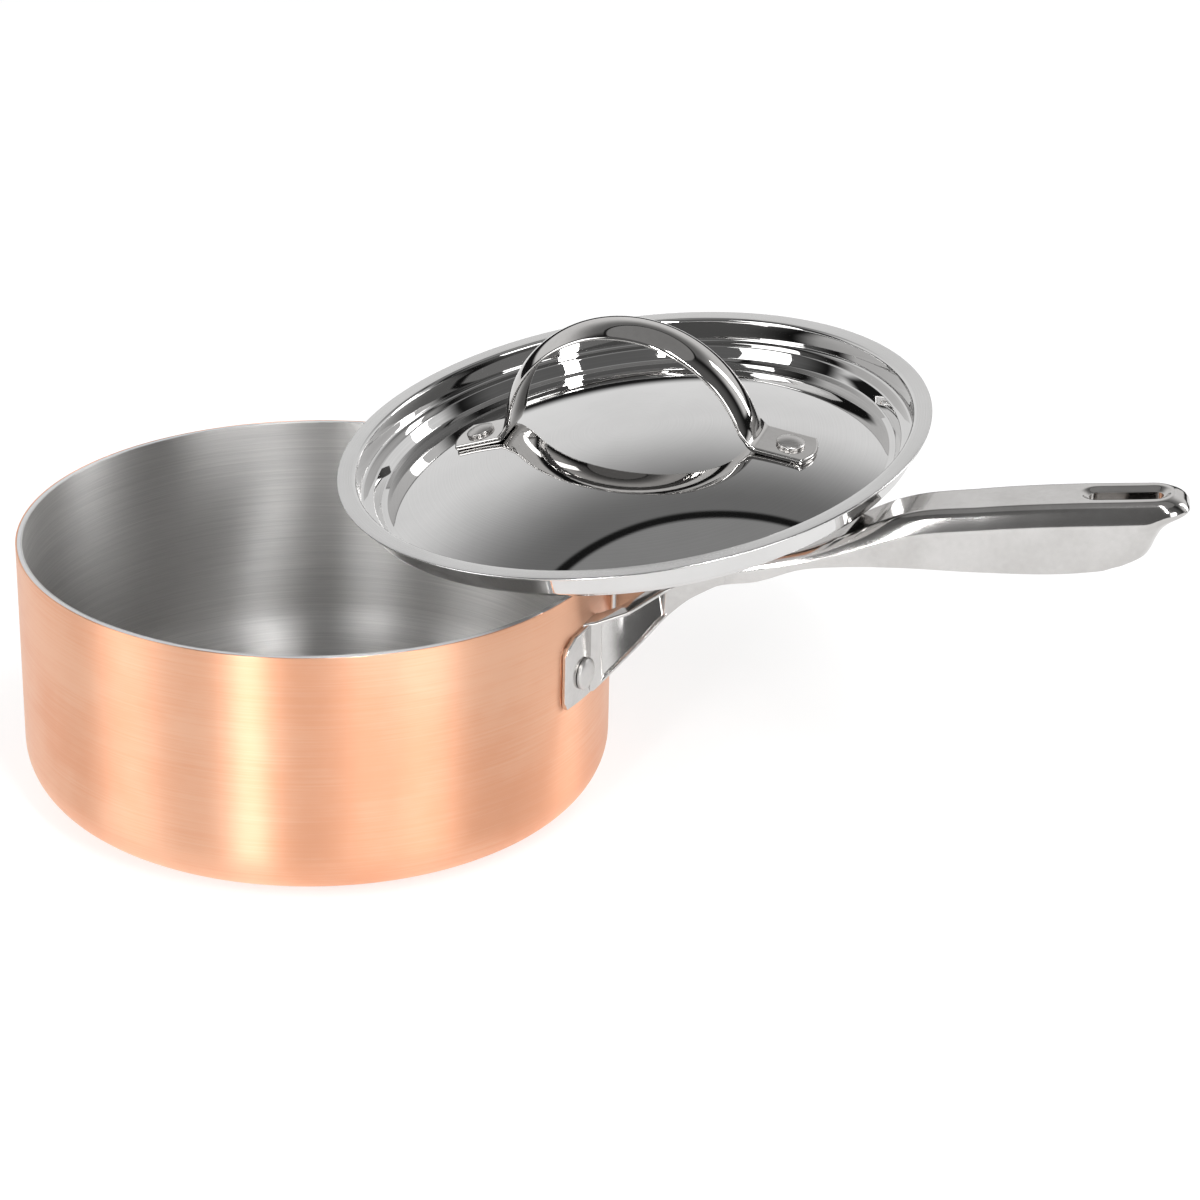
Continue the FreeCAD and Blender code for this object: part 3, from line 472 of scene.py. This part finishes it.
LIP_WIDTH, LIP_DEPTH, LIP_FROM, LIP_WHOLE = 2.8, 1.3, PAN_HEIGHT + 24, PAN_HEIGHT + 29
TIP_FROM, TIP_END, TIP_ROUND, TIP_NARROW = 262.0, 288.75, 9.0, 0.29
TIP_CURVE = np.array([(102.2, 275.2), (105.6, 277.2), (110.0, 278.9), (113.8, 281.2),
                      (116.6, 284.6), (118.4, 287.8), (119.6, 288.6), (121.2, 287.8),
                      (122.8, 285.8), (123.6, 283.2)])


def smooth_through(x, xs, ys):
    """Cubic pieces through points: h00 y0 + h10 m0 + h01 y1 + h11 m1, slopes by gradient."""
    slopes = np.gradient(ys, xs)
    k = np.clip(np.searchsorted(xs, x) - 1, 0, len(xs) - 2)
    width = xs[k + 1] - xs[k]
    t = np.clip((x - xs[k]) / width, 0, 1)
    return ((2 * t ** 3 - 3 * t ** 2 + 1) * ys[k] + (t ** 3 - 2 * t ** 2 + t) * width
            * slopes[k] + (3 * t ** 2 - 2 * t ** 3) * ys[k + 1]
            + (t ** 3 - t ** 2) * width * slopes[k + 1])


def half_section(x):
    """Right half of each section as (rows, points) arrays of y and z, top to underside.

    Top, shoulder, flank, lip arcs, inner flank and roof.  The shoulder is 62 degrees of an
    arc stretched to its width and height, so it meets the flank in a crisp line.  The
    hollow's depth fades to nothing at both ends, which leaves a flat underside there.
    """
    low, high, half, bend = [smooth_through(x, STATIONS[:, 0], STATIONS[:, k])[:, None]
                             for k in (1, 2, 3, 4)]
    low, high = low + PAN_HEIGHT, high + PAN_HEIGHT
    open_amount = (ramp(x, HOLLOW_FROM, HOLLOW_FROM + HOLLOW_FADE_IN)
                   - ramp(x, HOLLOW_TO - HOLLOW_FADE_OUT, HOLLOW_TO))[:, None]
    roof = low + open_amount * (high - HANDLE_WALL - low)
    lip = SOLID_LIP + CHANNEL_LIP * open_amount
    crown = SOLID_CROWN + CHANNEL_CROWN * open_amount
    inner = half - HANDLE_WALL
    quarter = np.linspace(0, np.pi / 2, 9)[None, :]
    wide, tall = SHOULDER_WIDTH * bend, SHOULDER_HEIGHT * bend
    sweep = np.linspace(0, SHOULDER_TURN, 12)[None, :]
    unit = np.linspace(0, 1, 14)[None, :-1]
    parts = [
        (unit * (half - wide), high + 0 * unit),
        (half - wide + wide * np.sin(sweep) / np.sin(SHOULDER_TURN),
         high - tall * (1 - np.cos(sweep)) / (1 - np.cos(SHOULDER_TURN))),
        (half + 0 * unit, high - tall + unit * (low + lip - high + tall)),
        (half - lip + lip * np.cos(quarter), low + lip - lip * np.sin(quarter)),
        (inner + lip - lip * np.sin(quarter), low + lip - lip * np.cos(quarter)),
        (inner + 0 * unit, low + lip + unit * (roof - crown - low - lip)),
        (inner - crown + crown * np.cos(quarter), roof - crown + crown * np.sin(quarter)),
        ((inner - crown) * (1 - unit), roof + 0 * unit),
    ]
    y = np.concatenate([part[0] for part in parts] + [0 * half], axis=1)
    z = np.concatenate([np.broadcast_to(part[1], part[0].shape) for part in parts]
                       + [roof], axis=1)
    return y, np.maximum(z, low)


def grip():
    """Sections along X, bent to the tip's curve and drawn in round the tip's corners."""
    x = np.concatenate([np.linspace(116, TIP_FROM, 170), TIP_FROM + (TIP_END - TIP_FROM)
                        * np.sin(np.linspace(0, np.pi / 2, 50)[1:])])
    y, z = half_section(x)
    end = smooth_through(z, TIP_CURVE[:, 0], TIP_CURVE[:, 1])
    share = np.clip((x[:, None] - TIP_FROM) / (TIP_END - TIP_FROM), 0, 1)
    along = np.where(share > 0, TIP_FROM + share * (end - TIP_FROM), x[:, None])
    left_over = np.clip((1 - share) * (end - TIP_FROM) / TIP_ROUND, 0, 1)
    y = y * (TIP_NARROW + (1 - TIP_NARROW) * np.sqrt(1 - (1 - left_over) ** 2))
    outside = np.maximum(np.hypot(np.maximum(np.abs(along - SLOT_MIDDLE) - SLOT_RUN, 0), y)
                         - SLOT_HALF, 0)
    on_top = ramp(z, LIP_FROM, LIP_WHOLE)
    z = z - LIP_DEPTH * on_top * (1 - ramp(outside, 0, LIP_WIDTH))
    right = np.stack([along, y, z], axis=-1)
    ring = np.concatenate([right, (right * [1, -1, 1])[:, -2:0:-1]], axis=1)
    shrink = np.linspace(1, 0, 7)[:, None, None]
    front, back = [ring[k] * np.stack([1 + 0 * shrink, shrink, 1 + 0 * shrink], -1)[:, 0]
                   for k in (0, -1)]
    return np.concatenate([front[::-1], ring[1:-1], back])


def cut_slot(piece):
    """Cut a capsule-shaped prism through a piece, and keep the result as its mesh."""
    half_turn = np.linspace(-np.pi / 2, np.pi / 2, 24)
    cap = np.stack([SLOT_RUN + SLOT_HALF * np.cos(half_turn), SLOT_HALF * np.sin(half_turn)], -1)
    outline = np.concatenate([cap, -cap]) + [SLOT_MIDDLE, 0]
    rows = [np.column_stack([outline * k + [SLOT_MIDDLE * (1 - k), 0],
                             np.full(len(outline), height)])
            for height, k in ((SLOT_FLOOR, 0), (SLOT_FLOOR, 1),
                              (SLOT_CEILING, 1), (SLOT_CEILING, 0))]
    cutter = make_piece("slot_cutter", np.stack(rows))
    cut = piece.modifiers.new("slot", "BOOLEAN")
    cut.operation, cut.object, cut.solver = "DIFFERENCE", cutter, "EXACT"
    scene_now = bpy.context.evaluated_depsgraph_get()
    baked = bpy.data.meshes.new_from_object(piece.evaluated_get(scene_now))
    piece.modifiers.clear()
    piece.data = baked
    bpy.data.objects.remove(cutter)
    baked.polygons.foreach_set("use_smooth", np.ones(len(baked.polygons), bool))
    baked.set_sharp_from_angle(angle=np.radians(38))


handle_grip = make_piece("long_handle_grip", grip())
cut_slot(handle_grip)


# %% [markdown]
# The fork's arms and plates are slabs: a middle line, a direction across it and a
# thickness that falls away in quarter ellipses at every edge.  Each arm has a dished
# recess in its outer face, deeper towards the top, inside a narrow flat border.


# %% Fork
ARM_THICKNESS, ARM_EDGE, ARM_ROOM = 6.0, 0.7, 0.6
ARM_START = (5.5, -4.0)
ARM_ROUTE, ARM_BENDS = [[122.0, 14.7], [131.0, 10.3], [140.0, 8.7]], [14.0, 30.0]
ARM_LOW = ([99.0, 104, 109, 114, 119, 122, 125, 128, 138],
           [49.4, 54.3, 59.3, 64.4, 70.0, 73.0, 75.5, 77.6, 82.6])
ARM_HIGH = ([99.0, 109, 120, 138], [75.0, 77.0, 82.8, 88.6])
RECESS_BORDER, RECESS_FROM, RECESS_TO, RECESS_STEP = 1.5, 101.2, 121.0, 0.7
RECESS_SHALLOW, RECESS_GROWTH = 0.4, 4.6
PLATE_FROM, PLATE_TO = np.radians([11.5, 25.6])
PLATE_BOTTOM, PLATE_TOP, CORNER_CUT, CORNER_SLOPE = 38.8, 13.4, 2.4, 2.6
PLATE_SHOULDER = ([0, 1.0, 5.5, 25], [6.0, 3.6, 0.9, 0])
PLATE_SLAB, PLATE_EDGE = 1.9, 0.45


def slab(middle, across, outward, half, thick, soft, dish=None):
    """P(u, t) = M(u) + A(u) w cos t +- N(u) h(u, t) / 2, closed at both edges and ends.

    M is the middle line, A the way across, N the way out, w half the width and h the
    thickness; a dish takes its own depth off the outer face.
    """
    turn = np.linspace(0, 2 * np.pi, 160, endpoint=False)
    w = half[:, None] * np.cos(turn)
    near = np.clip((np.abs(w) - half[:, None] + soft) / soft, 0, 1)
    step = np.linalg.norm(np.diff(middle, axis=0), axis=1)
    s = np.concatenate([[0], np.cumsum(step)])
    tip = np.clip((soft - np.minimum(s, s[-1] - s)) / soft, 0, 1)[:, None]
    rise = thick / 2 * np.sqrt(1 - near ** 2) * np.sqrt(1 - tip ** 2)
    side = np.sign(np.sin(turn).round(9))
    off = side * rise
    if dish is not None:
        off = off - np.where(side > 0, dish(w), 0)
    return (middle[:, None] + across[:, None] * w[..., None]
            + outward[:, None] * off[..., None])


def arm():
    """The left arm: it leaves the plate beside the rivet and runs in to the fork's neck."""
    root = RIVET_ANGLE - (HANDLE_RIVET_HEAD + ARM_ROOM) / PLATE_RADIUS
    start = PLATE_RADIUS * np.array([np.cos(root), np.sin(root)])
    line = fillet([start - ARM_START, *ARM_ROUTE], ARM_BENDS, steps=14, spacing=0.6)
    direction = np.gradient(line, axis=0)
    direction /= np.linalg.norm(direction, axis=1)[:, None]
    outward = np.stack([-direction[:, 1], direction[:, 0]], axis=-1)
    span = line[:, 0]
    low, high = np.interp(span, *ARM_LOW), np.interp(span, *ARM_HIGH)
    middle = np.column_stack([line - outward * ARM_THICKNESS / 2, (low + high) / 2])

    def dish(w):
        """Depth of the recess: nothing on the border, then more with height."""
        x = span[:, None] + 0 * w
        half = ((high - low) / 2)[:, None]
        inside = np.minimum(np.minimum(half - RECESS_BORDER - np.abs(w), x - RECESS_FROM),
                            RECESS_TO - x)
        up = np.clip((w + half) / (2 * half), 0, 1)
        return ramp(inside, 0, RECESS_STEP) * (RECESS_SHALLOW + RECESS_GROWTH * up)

    flat = np.column_stack([outward, 0 * span])
    level = np.tile([0, 0, 1.0], (len(span), 1))
    return slab(middle, level, flat, (high - low) / 2, ARM_THICKNESS, ARM_EDGE, dish)


def plate():
    """The left plate: bent to the wall, corners cut where it ends."""
    angle = np.linspace(PLATE_FROM, PLATE_TO, 120)
    edge = (PLATE_TO - angle) * PLATE_RADIUS
    low = PAN_HEIGHT - PLATE_BOTTOM + np.clip(CORNER_CUT - edge * CORNER_SLOPE, 0, CORNER_CUT)
    high = PAN_HEIGHT - PLATE_TOP - np.interp(edge, *PLATE_SHOULDER)
    out = np.column_stack([np.cos(angle), np.sin(angle), 0 * angle])
    radius = PAN_RADIUS + PLATE_THICKNESS / 2
    middle = out * radius + np.outer((low + high) / 2, [0, 0, 1.0])
    level = np.tile([0, 0, 1.0], (len(angle), 1))
    return slab(middle, level, out, (high - low) / 2, PLATE_SLAB, PLATE_EDGE)


fork = [arm(), plate()]
fork_grids = fork + [grid * [1, -1, 1] for grid in fork]
handle_pieces = [handle_grip] + [
    make_piece(f"long_handle_{name}", grid) for name, grid in
    zip(("arm_left", "plate_left", "arm_right", "plate_right"), fork_grids)]

# %% [markdown]
# ## Tie the pieces to the parts they stand for
#
# Each new piece rides on the body that its part belongs to, hides that part, and takes its
# finish from the part's slot.  The handle's five pieces stand for one part.

# %% Ride and replace
BODY_OF = {node: body for body, nodes in frame["record"]["behaviour"]["bodies"].items()
           for node in nodes}
SLOT_OF = {part["node"]: part["material_slot"] for part in frame["record"]["subparts"]}
stand_ins = list(pieces.items()) + [("long_handle", piece) for piece in handle_pieces]
for node, piece in stand_ins:
    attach(piece, BODY_OF[node])
    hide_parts(node)
print("stand-ins:", [(piece.name, BODY_OF[node]) for node, piece in stand_ins])

# %% [markdown]
# ## Writing finishes as sums
#
# A finish is a small formula: a noise here, a mask there, added and multiplied.  The
# class below holds one value of a shader and lets ordinary arithmetic build the nodes.


# %% Shader arithmetic
class Value:
    """One output of a node tree; arithmetic on it adds Math, Vector Math or Mix nodes."""

    def __init__(self, tree, output):
        self.tree, self.output = tree, output

    def node(self, kind, settings=None, inputs=None, output=0):
        """Any other node: its type, its settings, its inputs by name or number."""
        new = self.tree.nodes.new(kind)
        for name, value in (settings or {}).items():
            setattr(new, name, value)
        for name, value in (inputs or {}).items():
            connect(self.tree, value, new.inputs[name])
        return Value(self.tree, new.outputs[output])

    def vector(self, operation, *others, output=0):
        """A Vector Math node on this value and another."""
        inputs = dict(enumerate((self, *others)))
        return self.node("ShaderNodeVectorMath", {"operation": operation}, inputs, output)

    def is_vector(self):
        """Whether this value has three parts."""
        return self.output.type == "VECTOR"

    def combine(self, operation, other, swap=False):
        """Arithmetic with a number, a tuple or another value, in either order."""
        kind = "ShaderNodeVectorMath" if self.is_vector() else "ShaderNodeMath"
        if self.is_vector() and not isinstance(other, (Value, tuple)):
            other = (other,) * 3
        first, second = (other, self) if swap else (self, other)
        return self.node(kind, {"operation": operation}, {0: first, 1: second})

    def __add__(self, other):
        return self.combine("ADD", other)

    def __radd__(self, other):
        return self.combine("ADD", other, swap=True)

    def __sub__(self, other):
        return self.combine("SUBTRACT", other)

    def __rsub__(self, other):
        return self.combine("SUBTRACT", other, swap=True)

    def __mul__(self, other):
        return self.combine("MULTIPLY", other)

    def __rmul__(self, other):
        return self.combine("MULTIPLY", other, swap=True)

    def smooth(self, low, high):
        """0 below low, 1 above high, smooth between."""
        return self.node("ShaderNodeMapRange", {"interpolation_type": "SMOOTHSTEP"},
                         {"Value": self, "From Min": low, "From Max": high})

    def noise(self, scale, detail=3.0, roughness=0.55):
        """Cloudy noise about one half, read at this position."""
        return self.node("ShaderNodeTexNoise", None,
                         {"Vector": self, "Scale": scale, "Detail": detail,
                          "Roughness": roughness})

    def mix(self, colour_a, colour_b):
        """The colour between two, by this value."""
        return self.node("ShaderNodeMix", {"data_type": "RGBA"},
                         {"Factor": self, 6: colour_a, 7: colour_b}, output=2)


def connect(tree, value, socket):
    """Set a socket to a constant, or link a value to it."""
    if isinstance(value, Value):
        tree.links.new(value.output, socket)
    else:
        socket.default_value = value


def new_material(name):
    """An empty material, its Principled shader, and the object position as a Value."""
    material = bpy.data.materials.new(name)
    material.use_nodes = True
    tree = material.node_tree
    shader = tree.nodes["Principled BSDF"]
    position = Value(tree, tree.nodes.new("ShaderNodeTexCoord").outputs["Object"])
    return material, tree, shader, position


def bump(position, height, strength, distance):
    """A Bump node that reads a height."""
    return position.node("ShaderNodeBump", None,
                         {"Height": height, "Strength": strength, "Distance": distance})


def finish_metal(tree, shader, colour, roughness, normal=None, anisotropic=0.0, turn=0.0):
    """Connect a metal's colour, roughness and bump; the constants go on the sockets."""
    shader.inputs["Metallic"].default_value = 1.0
    shader.inputs["Anisotropic"].default_value = anisotropic
    shader.inputs["Anisotropic Rotation"].default_value = turn
    connect(tree, colour, shader.inputs["Base Color"])
    connect(tree, roughness, shader.inputs["Roughness"])
    if normal is not None:
        connect(tree, normal, shader.inputs["Normal"])


# %% [markdown]
# ## The finishes
#
# Brushed copper: the sheet is brushed round the wall, so its lines are level.  The lines
# are a noise stretched out flat, about a hundred times finer up the wall than along it.
# Brushing spreads a reflection across the lines, which draws tall highlights down the
# wall; that is what the anisotropic setting does.  Handling leaves warmer patches.  The
# liner is brushed the same way, and the core shows only as a ground edge at the rim.


# %% Copper
def copper():
    """Colour = pale copper mixed to warm by patches; roughness and bump from the lines."""
    material, tree, shader, at = new_material("brushed_copper")
    patches = (at * (1.0, 1.0, 1.3)).noise(14.0, 4.0, 0.6)
    streaks = (at * (4.0, 4.0, 260.0)).noise(6.0, 5.0, 0.65)
    fine = (at * (9.0, 9.0, 1500.0)).noise(5.0, 3.0, 0.7)
    warmth = (patches * 0.75 + streaks * 0.35).smooth(0.42, 0.68)
    colour = warmth.mix((0.935, 0.545, 0.365, 1), (0.895, 0.455, 0.280, 1))
    roughness = 0.33 + 0.10 * streaks + 0.07 * patches
    lines = bump(at, streaks + fine * 0.8, 0.10, 0.0002)
    finish_metal(tree, shader, colour, roughness, lines, anisotropic=0.93, turn=0.25)
    return material


def aluminium():
    """A ground edge: pale grey with fine level lines."""
    material, tree, shader, at = new_material("ground_aluminium")
    lines = (at * (60.0, 60.0, 900.0)).noise(8.0, 3.0)
    cloud = at.noise(70.0, 3.0)
    colour = (lines * 0.6 + cloud * 0.4).mix((0.72, 0.72, 0.73, 1), (0.86, 0.86, 0.87, 1))
    finish_metal(tree, shader, colour, 0.26 + 0.12 * cloud, bump(at, lines, 0.06, 0.0001))
    return material


def liner_steel():
    """Brushed round the wall: level lines with the odd deeper one."""
    material, tree, shader, at = new_material("brushed_liner")
    coarse = (at * (3.0, 3.0, 200.0)).noise(5.0, 5.0, 0.7)
    fine = (at * (8.0, 8.0, 1300.0)).noise(5.0, 4.0, 0.7)
    cloud = at.noise(11.0, 3.0)
    tone = (coarse * 0.55 + fine * 0.55).smooth(0.30, 0.80)
    colour = tone.mix((0.60, 0.59, 0.58, 1), (0.78, 0.77, 0.755, 1))
    roughness = 0.40 + 0.08 * coarse + 0.05 * cloud
    finish_metal(tree, shader, colour, roughness, bump(at, coarse * 0.6 + fine, 0.16, 0.0002),
                 anisotropic=0.93, turn=0.25)
    return material


# %% [markdown]
# Polished steel has almost no relief.  What separates it from a mirror is a faint haze in
# soft patches, a few hair scratches, and on a spun lid the ghost of the lathe's rings.
# Cast steel keeps a slight orange peel under its polish.


# %% Steels
FLANGE_EDGE, FLANGE_LEVEL = (0.0968, 0.0978), (-0.0016, -0.0004)


def lid_steel():
    """Rings follow the distance from the lid's axis: |p - c - n (n . (p - c))|."""
    material, tree, shader, at = new_material("spun_lid_steel")
    offset = at - tuple(LID_CENTRE * MM)
    up = tuple(LID_TURN[:, 2])
    height = offset.vector("DOT_PRODUCT", up, output=1)
    flat = offset - offset.vector("PROJECT", up)
    radius = flat.vector("LENGTH", output=1)
    rings = at.node("ShaderNodeTexNoise", {"noise_dimensions": "1D"},
                    {"W": radius * 2600.0, "Scale": 1.0, "Detail": 3.0})
    haze = offset.noise(18.0, 4.0, 0.6)
    hairs = (offset * (90.0, 700.0, 300.0)).noise(3.0, 2.0).smooth(0.66, 0.78)
    flange = radius.smooth(*FLANGE_EDGE) * height.smooth(*FLANGE_LEVEL)
    roughness = 0.018 + 0.020 * haze + 0.012 * hairs + 0.20 * flange
    tone = (rings * 0.3 + haze * 0.7).smooth(0.25, 0.75)
    colour = tone.mix((0.60, 0.595, 0.59, 1), (0.70, 0.695, 0.69, 1))
    relief = bump(at, rings * (0.25 + flange) + haze * 0.1, 0.035, 0.00006)
    finish_metal(tree, shader, colour, roughness, relief)
    return material


def polished_steel(name, dark, light, base_roughness, peel):
    """A buffed casting: soft haze, orange peel of a given depth, and hair scratches."""
    material, tree, shader, at = new_material(name)
    haze = at.noise(38.0, 4.0, 0.6)
    skin = at.noise(520.0, 2.0)
    hairs = (at * (60.0, 800.0, 800.0)).noise(2.2, 3.0).smooth(0.62, 0.76)
    colour = (haze * 0.8 + skin * 0.2).smooth(0.28, 0.74).mix(dark, light)
    roughness = base_roughness + 0.05 * haze + 0.04 * hairs
    relief = bump(at, skin * 0.7 + hairs * 0.3, peel, 0.0001)
    finish_metal(tree, shader, colour, roughness, relief)
    return material


STEEL_DARK, STEEL_LIGHT = (0.50, 0.487, 0.475, 1), (0.60, 0.588, 0.578, 1)
FINISHES = {
    "copper": copper(),
    "core_aluminium": aluminium(),
    "liner_steel": liner_steel(),
    "lid_steel": lid_steel(),
    "cast_steel": polished_steel("cast_handle_steel", STEEL_DARK, STEEL_LIGHT, 0.10, 0.05),
    "loop_steel": polished_steel("polished_loop_steel", STEEL_DARK, STEEL_LIGHT, 0.03, 0.02),
    "rivet_steel": polished_steel("rivet_steel", STEEL_DARK, STEEL_LIGHT, 0.33, 0.04),
}
for node, piece in stand_ins + list(frame["nodes"].items()):
    piece.data.materials.clear()
    piece.data.materials.append(FINISHES[SLOT_OF[node]])
print("finishes:", sorted(FINISHES))

# %% [markdown]
# ## The studio
#
# Polished metal shows the room it stands in, so the room is drawn as well as the lights.
# Two tall strips and a broad soft light stand at the front and a panel on each side, and a
# wash from overhead lights the floor.  The sky is dim in front and bright behind, where a
# tall panel fades upwards.  A dark gap parts it from the floor and a thin one from the
# ceiling, and both draw dark curves on the lid.  The floor's far part is left out of
# reflections, because a white floor there would fill the lower gap.


# %% Floor and light
def floor_paper():
    """Pale matt paper that glows a little, so that it stays white into the distance."""
    material, tree, shader, at = new_material("floor_paper")
    grain = at.noise(3.0, 2.0)
    colour = grain.mix((0.36, 0.36, 0.36, 1), (0.38, 0.38, 0.38, 1))
    shader.inputs["Emission Color"].default_value = (1.0, 1.0, 1.0, 1.0)
    shader.inputs["Emission Strength"].default_value = 0.68
    connect(tree, colour, shader.inputs["Base Color"])
    shader.inputs["Roughness"].default_value = 0.9
    shader.inputs["Specular IOR Level"].default_value = 0.0
    return material


def make_floor(name, front, back, material):
    """A wide pale sheet just under the base, from y = front to y = back."""
    mesh = bpy.data.meshes.new(name)
    corners = [(x, y, -FLOOR_DROP) for x, y in
               [(-FLOOR_REACH, front), (FLOOR_REACH, front),
                (FLOOR_REACH, back), (-FLOOR_REACH, back)]]
    mesh.from_pydata(corners, [], [(0, 1, 2, 3)])
    mesh.materials.append(material)
    floor = add_object(name, mesh)
    return floor


def stand(thing, axes, place):
    """Place an object by its three axes, given as columns, and its origin."""
    thing.matrix_world = Matrix([*np.column_stack([axes, place]).tolist(), [0, 0, 0, 1]])


def panel(name, place, target, width, height, power):
    """A rectangular soft light at a place, facing a target."""
    light = bpy.data.lights.new(name, "AREA")
    light.shape = "RECTANGLE"
    light.size, light.size_y = width, height
    light.energy = power
    lamp = add_object(name, light)
    out = np.array(place, float) - target
    out /= np.linalg.norm(out)
    side = np.cross([0, 0, 1.0], out)
    side /= np.linalg.norm(side)
    stand(lamp, np.stack([side, np.cross(out, side), out], 1), place)
    return lamp


def round_about(heading, elevation, distance, target):
    """A place seen from the target at a heading from -Y, towards +X, and an elevation."""
    a, e = np.radians([heading, elevation])
    out = np.array([np.sin(a) * np.cos(e), -np.cos(a) * np.cos(e), np.sin(e)])
    return np.array(target) + distance * out


FLOOR_REACH, FLOOR_DROP, MIRROR_END = 12.0, 0.0001, 1.3
TARGET = (0.05, 0.0, 0.05)
# heading, elevation, distance, width, height, power
PANELS = {
    "strip_left": (-14, 19, 2.2, 0.10, 1.4, 17.0),
    "strip_right": (30, 52, 2.2, 0.22, 1.4, 19.0),
    "soft_right": (50, 18, 2.2, 0.80, 1.2, 13.0),
    "side_left": (-62, 22, 2.4, 0.90, 1.6, 17.0),
    "side_right": (118, 24, 2.4, 0.40, 1.6, 12.0),
}
paper = floor_paper()
make_floor("floor", -FLOOR_REACH, MIRROR_END, paper)
make_floor("floor_far", MIRROR_END, FLOOR_REACH, paper).visible_glossy = False
for name, (heading, elevation, distance, width, height, power) in PANELS.items():
    panel(name, round_about(heading, elevation, distance, TARGET), TARGET, width, height,
          power)
wash = panel("floor_wash", (0.05, -0.2, 2.6), TARGET, 4.5, 4.5, 34.0)
wash.visible_glossy = False

# %% [markdown]
# The room's brightness depends only on the direction of a ray: how far it points back, and
# how high.  Each band below is a pair of heights or depths between which it fades.

# %% The room
BEHIND, IN_FRONT, BELOW = (-0.02, 0.20), (-0.30, 0.0), (-0.03, 0.0)
PANEL_FOOT, PANEL_HEAD, PANEL_FADE = (0.10, 0.17), (0.838, 0.846), (0.45, 0.82)
CEILING = (0.856, 0.864)
world = bpy.data.worlds.new("studio")
bpy.context.scene.world = world
world.use_nodes = True
sky = world.node_tree
ray = Value(sky, sky.nodes.new("ShaderNodeTexCoord").outputs["Generated"])
depth, height = [ray.node("ShaderNodeSeparateXYZ", None, {0: ray}, output=k) for k in (1, 2)]
back_panel = depth.smooth(*BEHIND) * height.smooth(*PANEL_FOOT)
back_panel = back_panel * (1.0 - height.smooth(*PANEL_HEAD))
back_panel = back_panel * (0.98 - 0.78 * height.smooth(*PANEL_FADE))
ceiling = height.smooth(*CEILING)
front = 1.0 - depth.smooth(*IN_FRONT)
below = (1.0 - height.smooth(*BELOW)) * front
level = (0.012 + 0.13 * front * (1.0 - ceiling) + 0.92 * back_panel + 0.30 * ceiling
         + 0.9 * below)
background = sky.nodes["Background"]
connect(sky, level.mix((0, 0, 0, 1), (1.0, 1.0, 1.0, 1)), background.inputs["Color"])
background.inputs["Strength"].default_value = 1.0
print("lights:", sorted(PANELS), "and", wash.name)

# %% [markdown]
# ## The camera
#
# A long lens looks down at about 25 degrees, from a little to the right of square on, so
# that the pan's mouth, the lid's loop and the whole handle show at once.

# %% Camera
HEADING, ELEVATION, ROLL = np.radians([7.0, 24.657, 1.286])
DISTANCE, SIDEWAYS, UPWARDS = 1200.0, -97.484, -56.618
FOCAL, FRAME_WIDTH, SENSOR = 3454.0, 1200.0, 36.0
back = np.array([np.sin(HEADING) * np.cos(ELEVATION), -np.cos(HEADING) * np.cos(ELEVATION),
                 np.sin(ELEVATION)])
level_right = np.array([np.cos(HEADING), np.sin(HEADING), 0])
level_up = np.cross(back, level_right)
right = level_right * np.cos(ROLL) + level_up * np.sin(ROLL)
up = level_up * np.cos(ROLL) - level_right * np.sin(ROLL)
place = (back * DISTANCE - right * SIDEWAYS - up * UPWARDS) * MM
camera = add_object("camera", bpy.data.cameras.new("camera"))
camera.data.sensor_width = SENSOR
camera.data.lens = FOCAL / FRAME_WIDTH * SENSOR
stand(camera, np.stack([right, up, back], 1), place)
bpy.context.scene.camera = camera
bpy.context.scene.view_settings.view_transform = "Standard"
print("camera at", place.round(3), "lens", round(camera.data.lens, 1))

# %% [markdown]
# ## Compare sizes and finish
# The new pieces may not grow the object, so both boxes are written down side by side.

# %% Update the scene
bpy.context.view_layer.update()
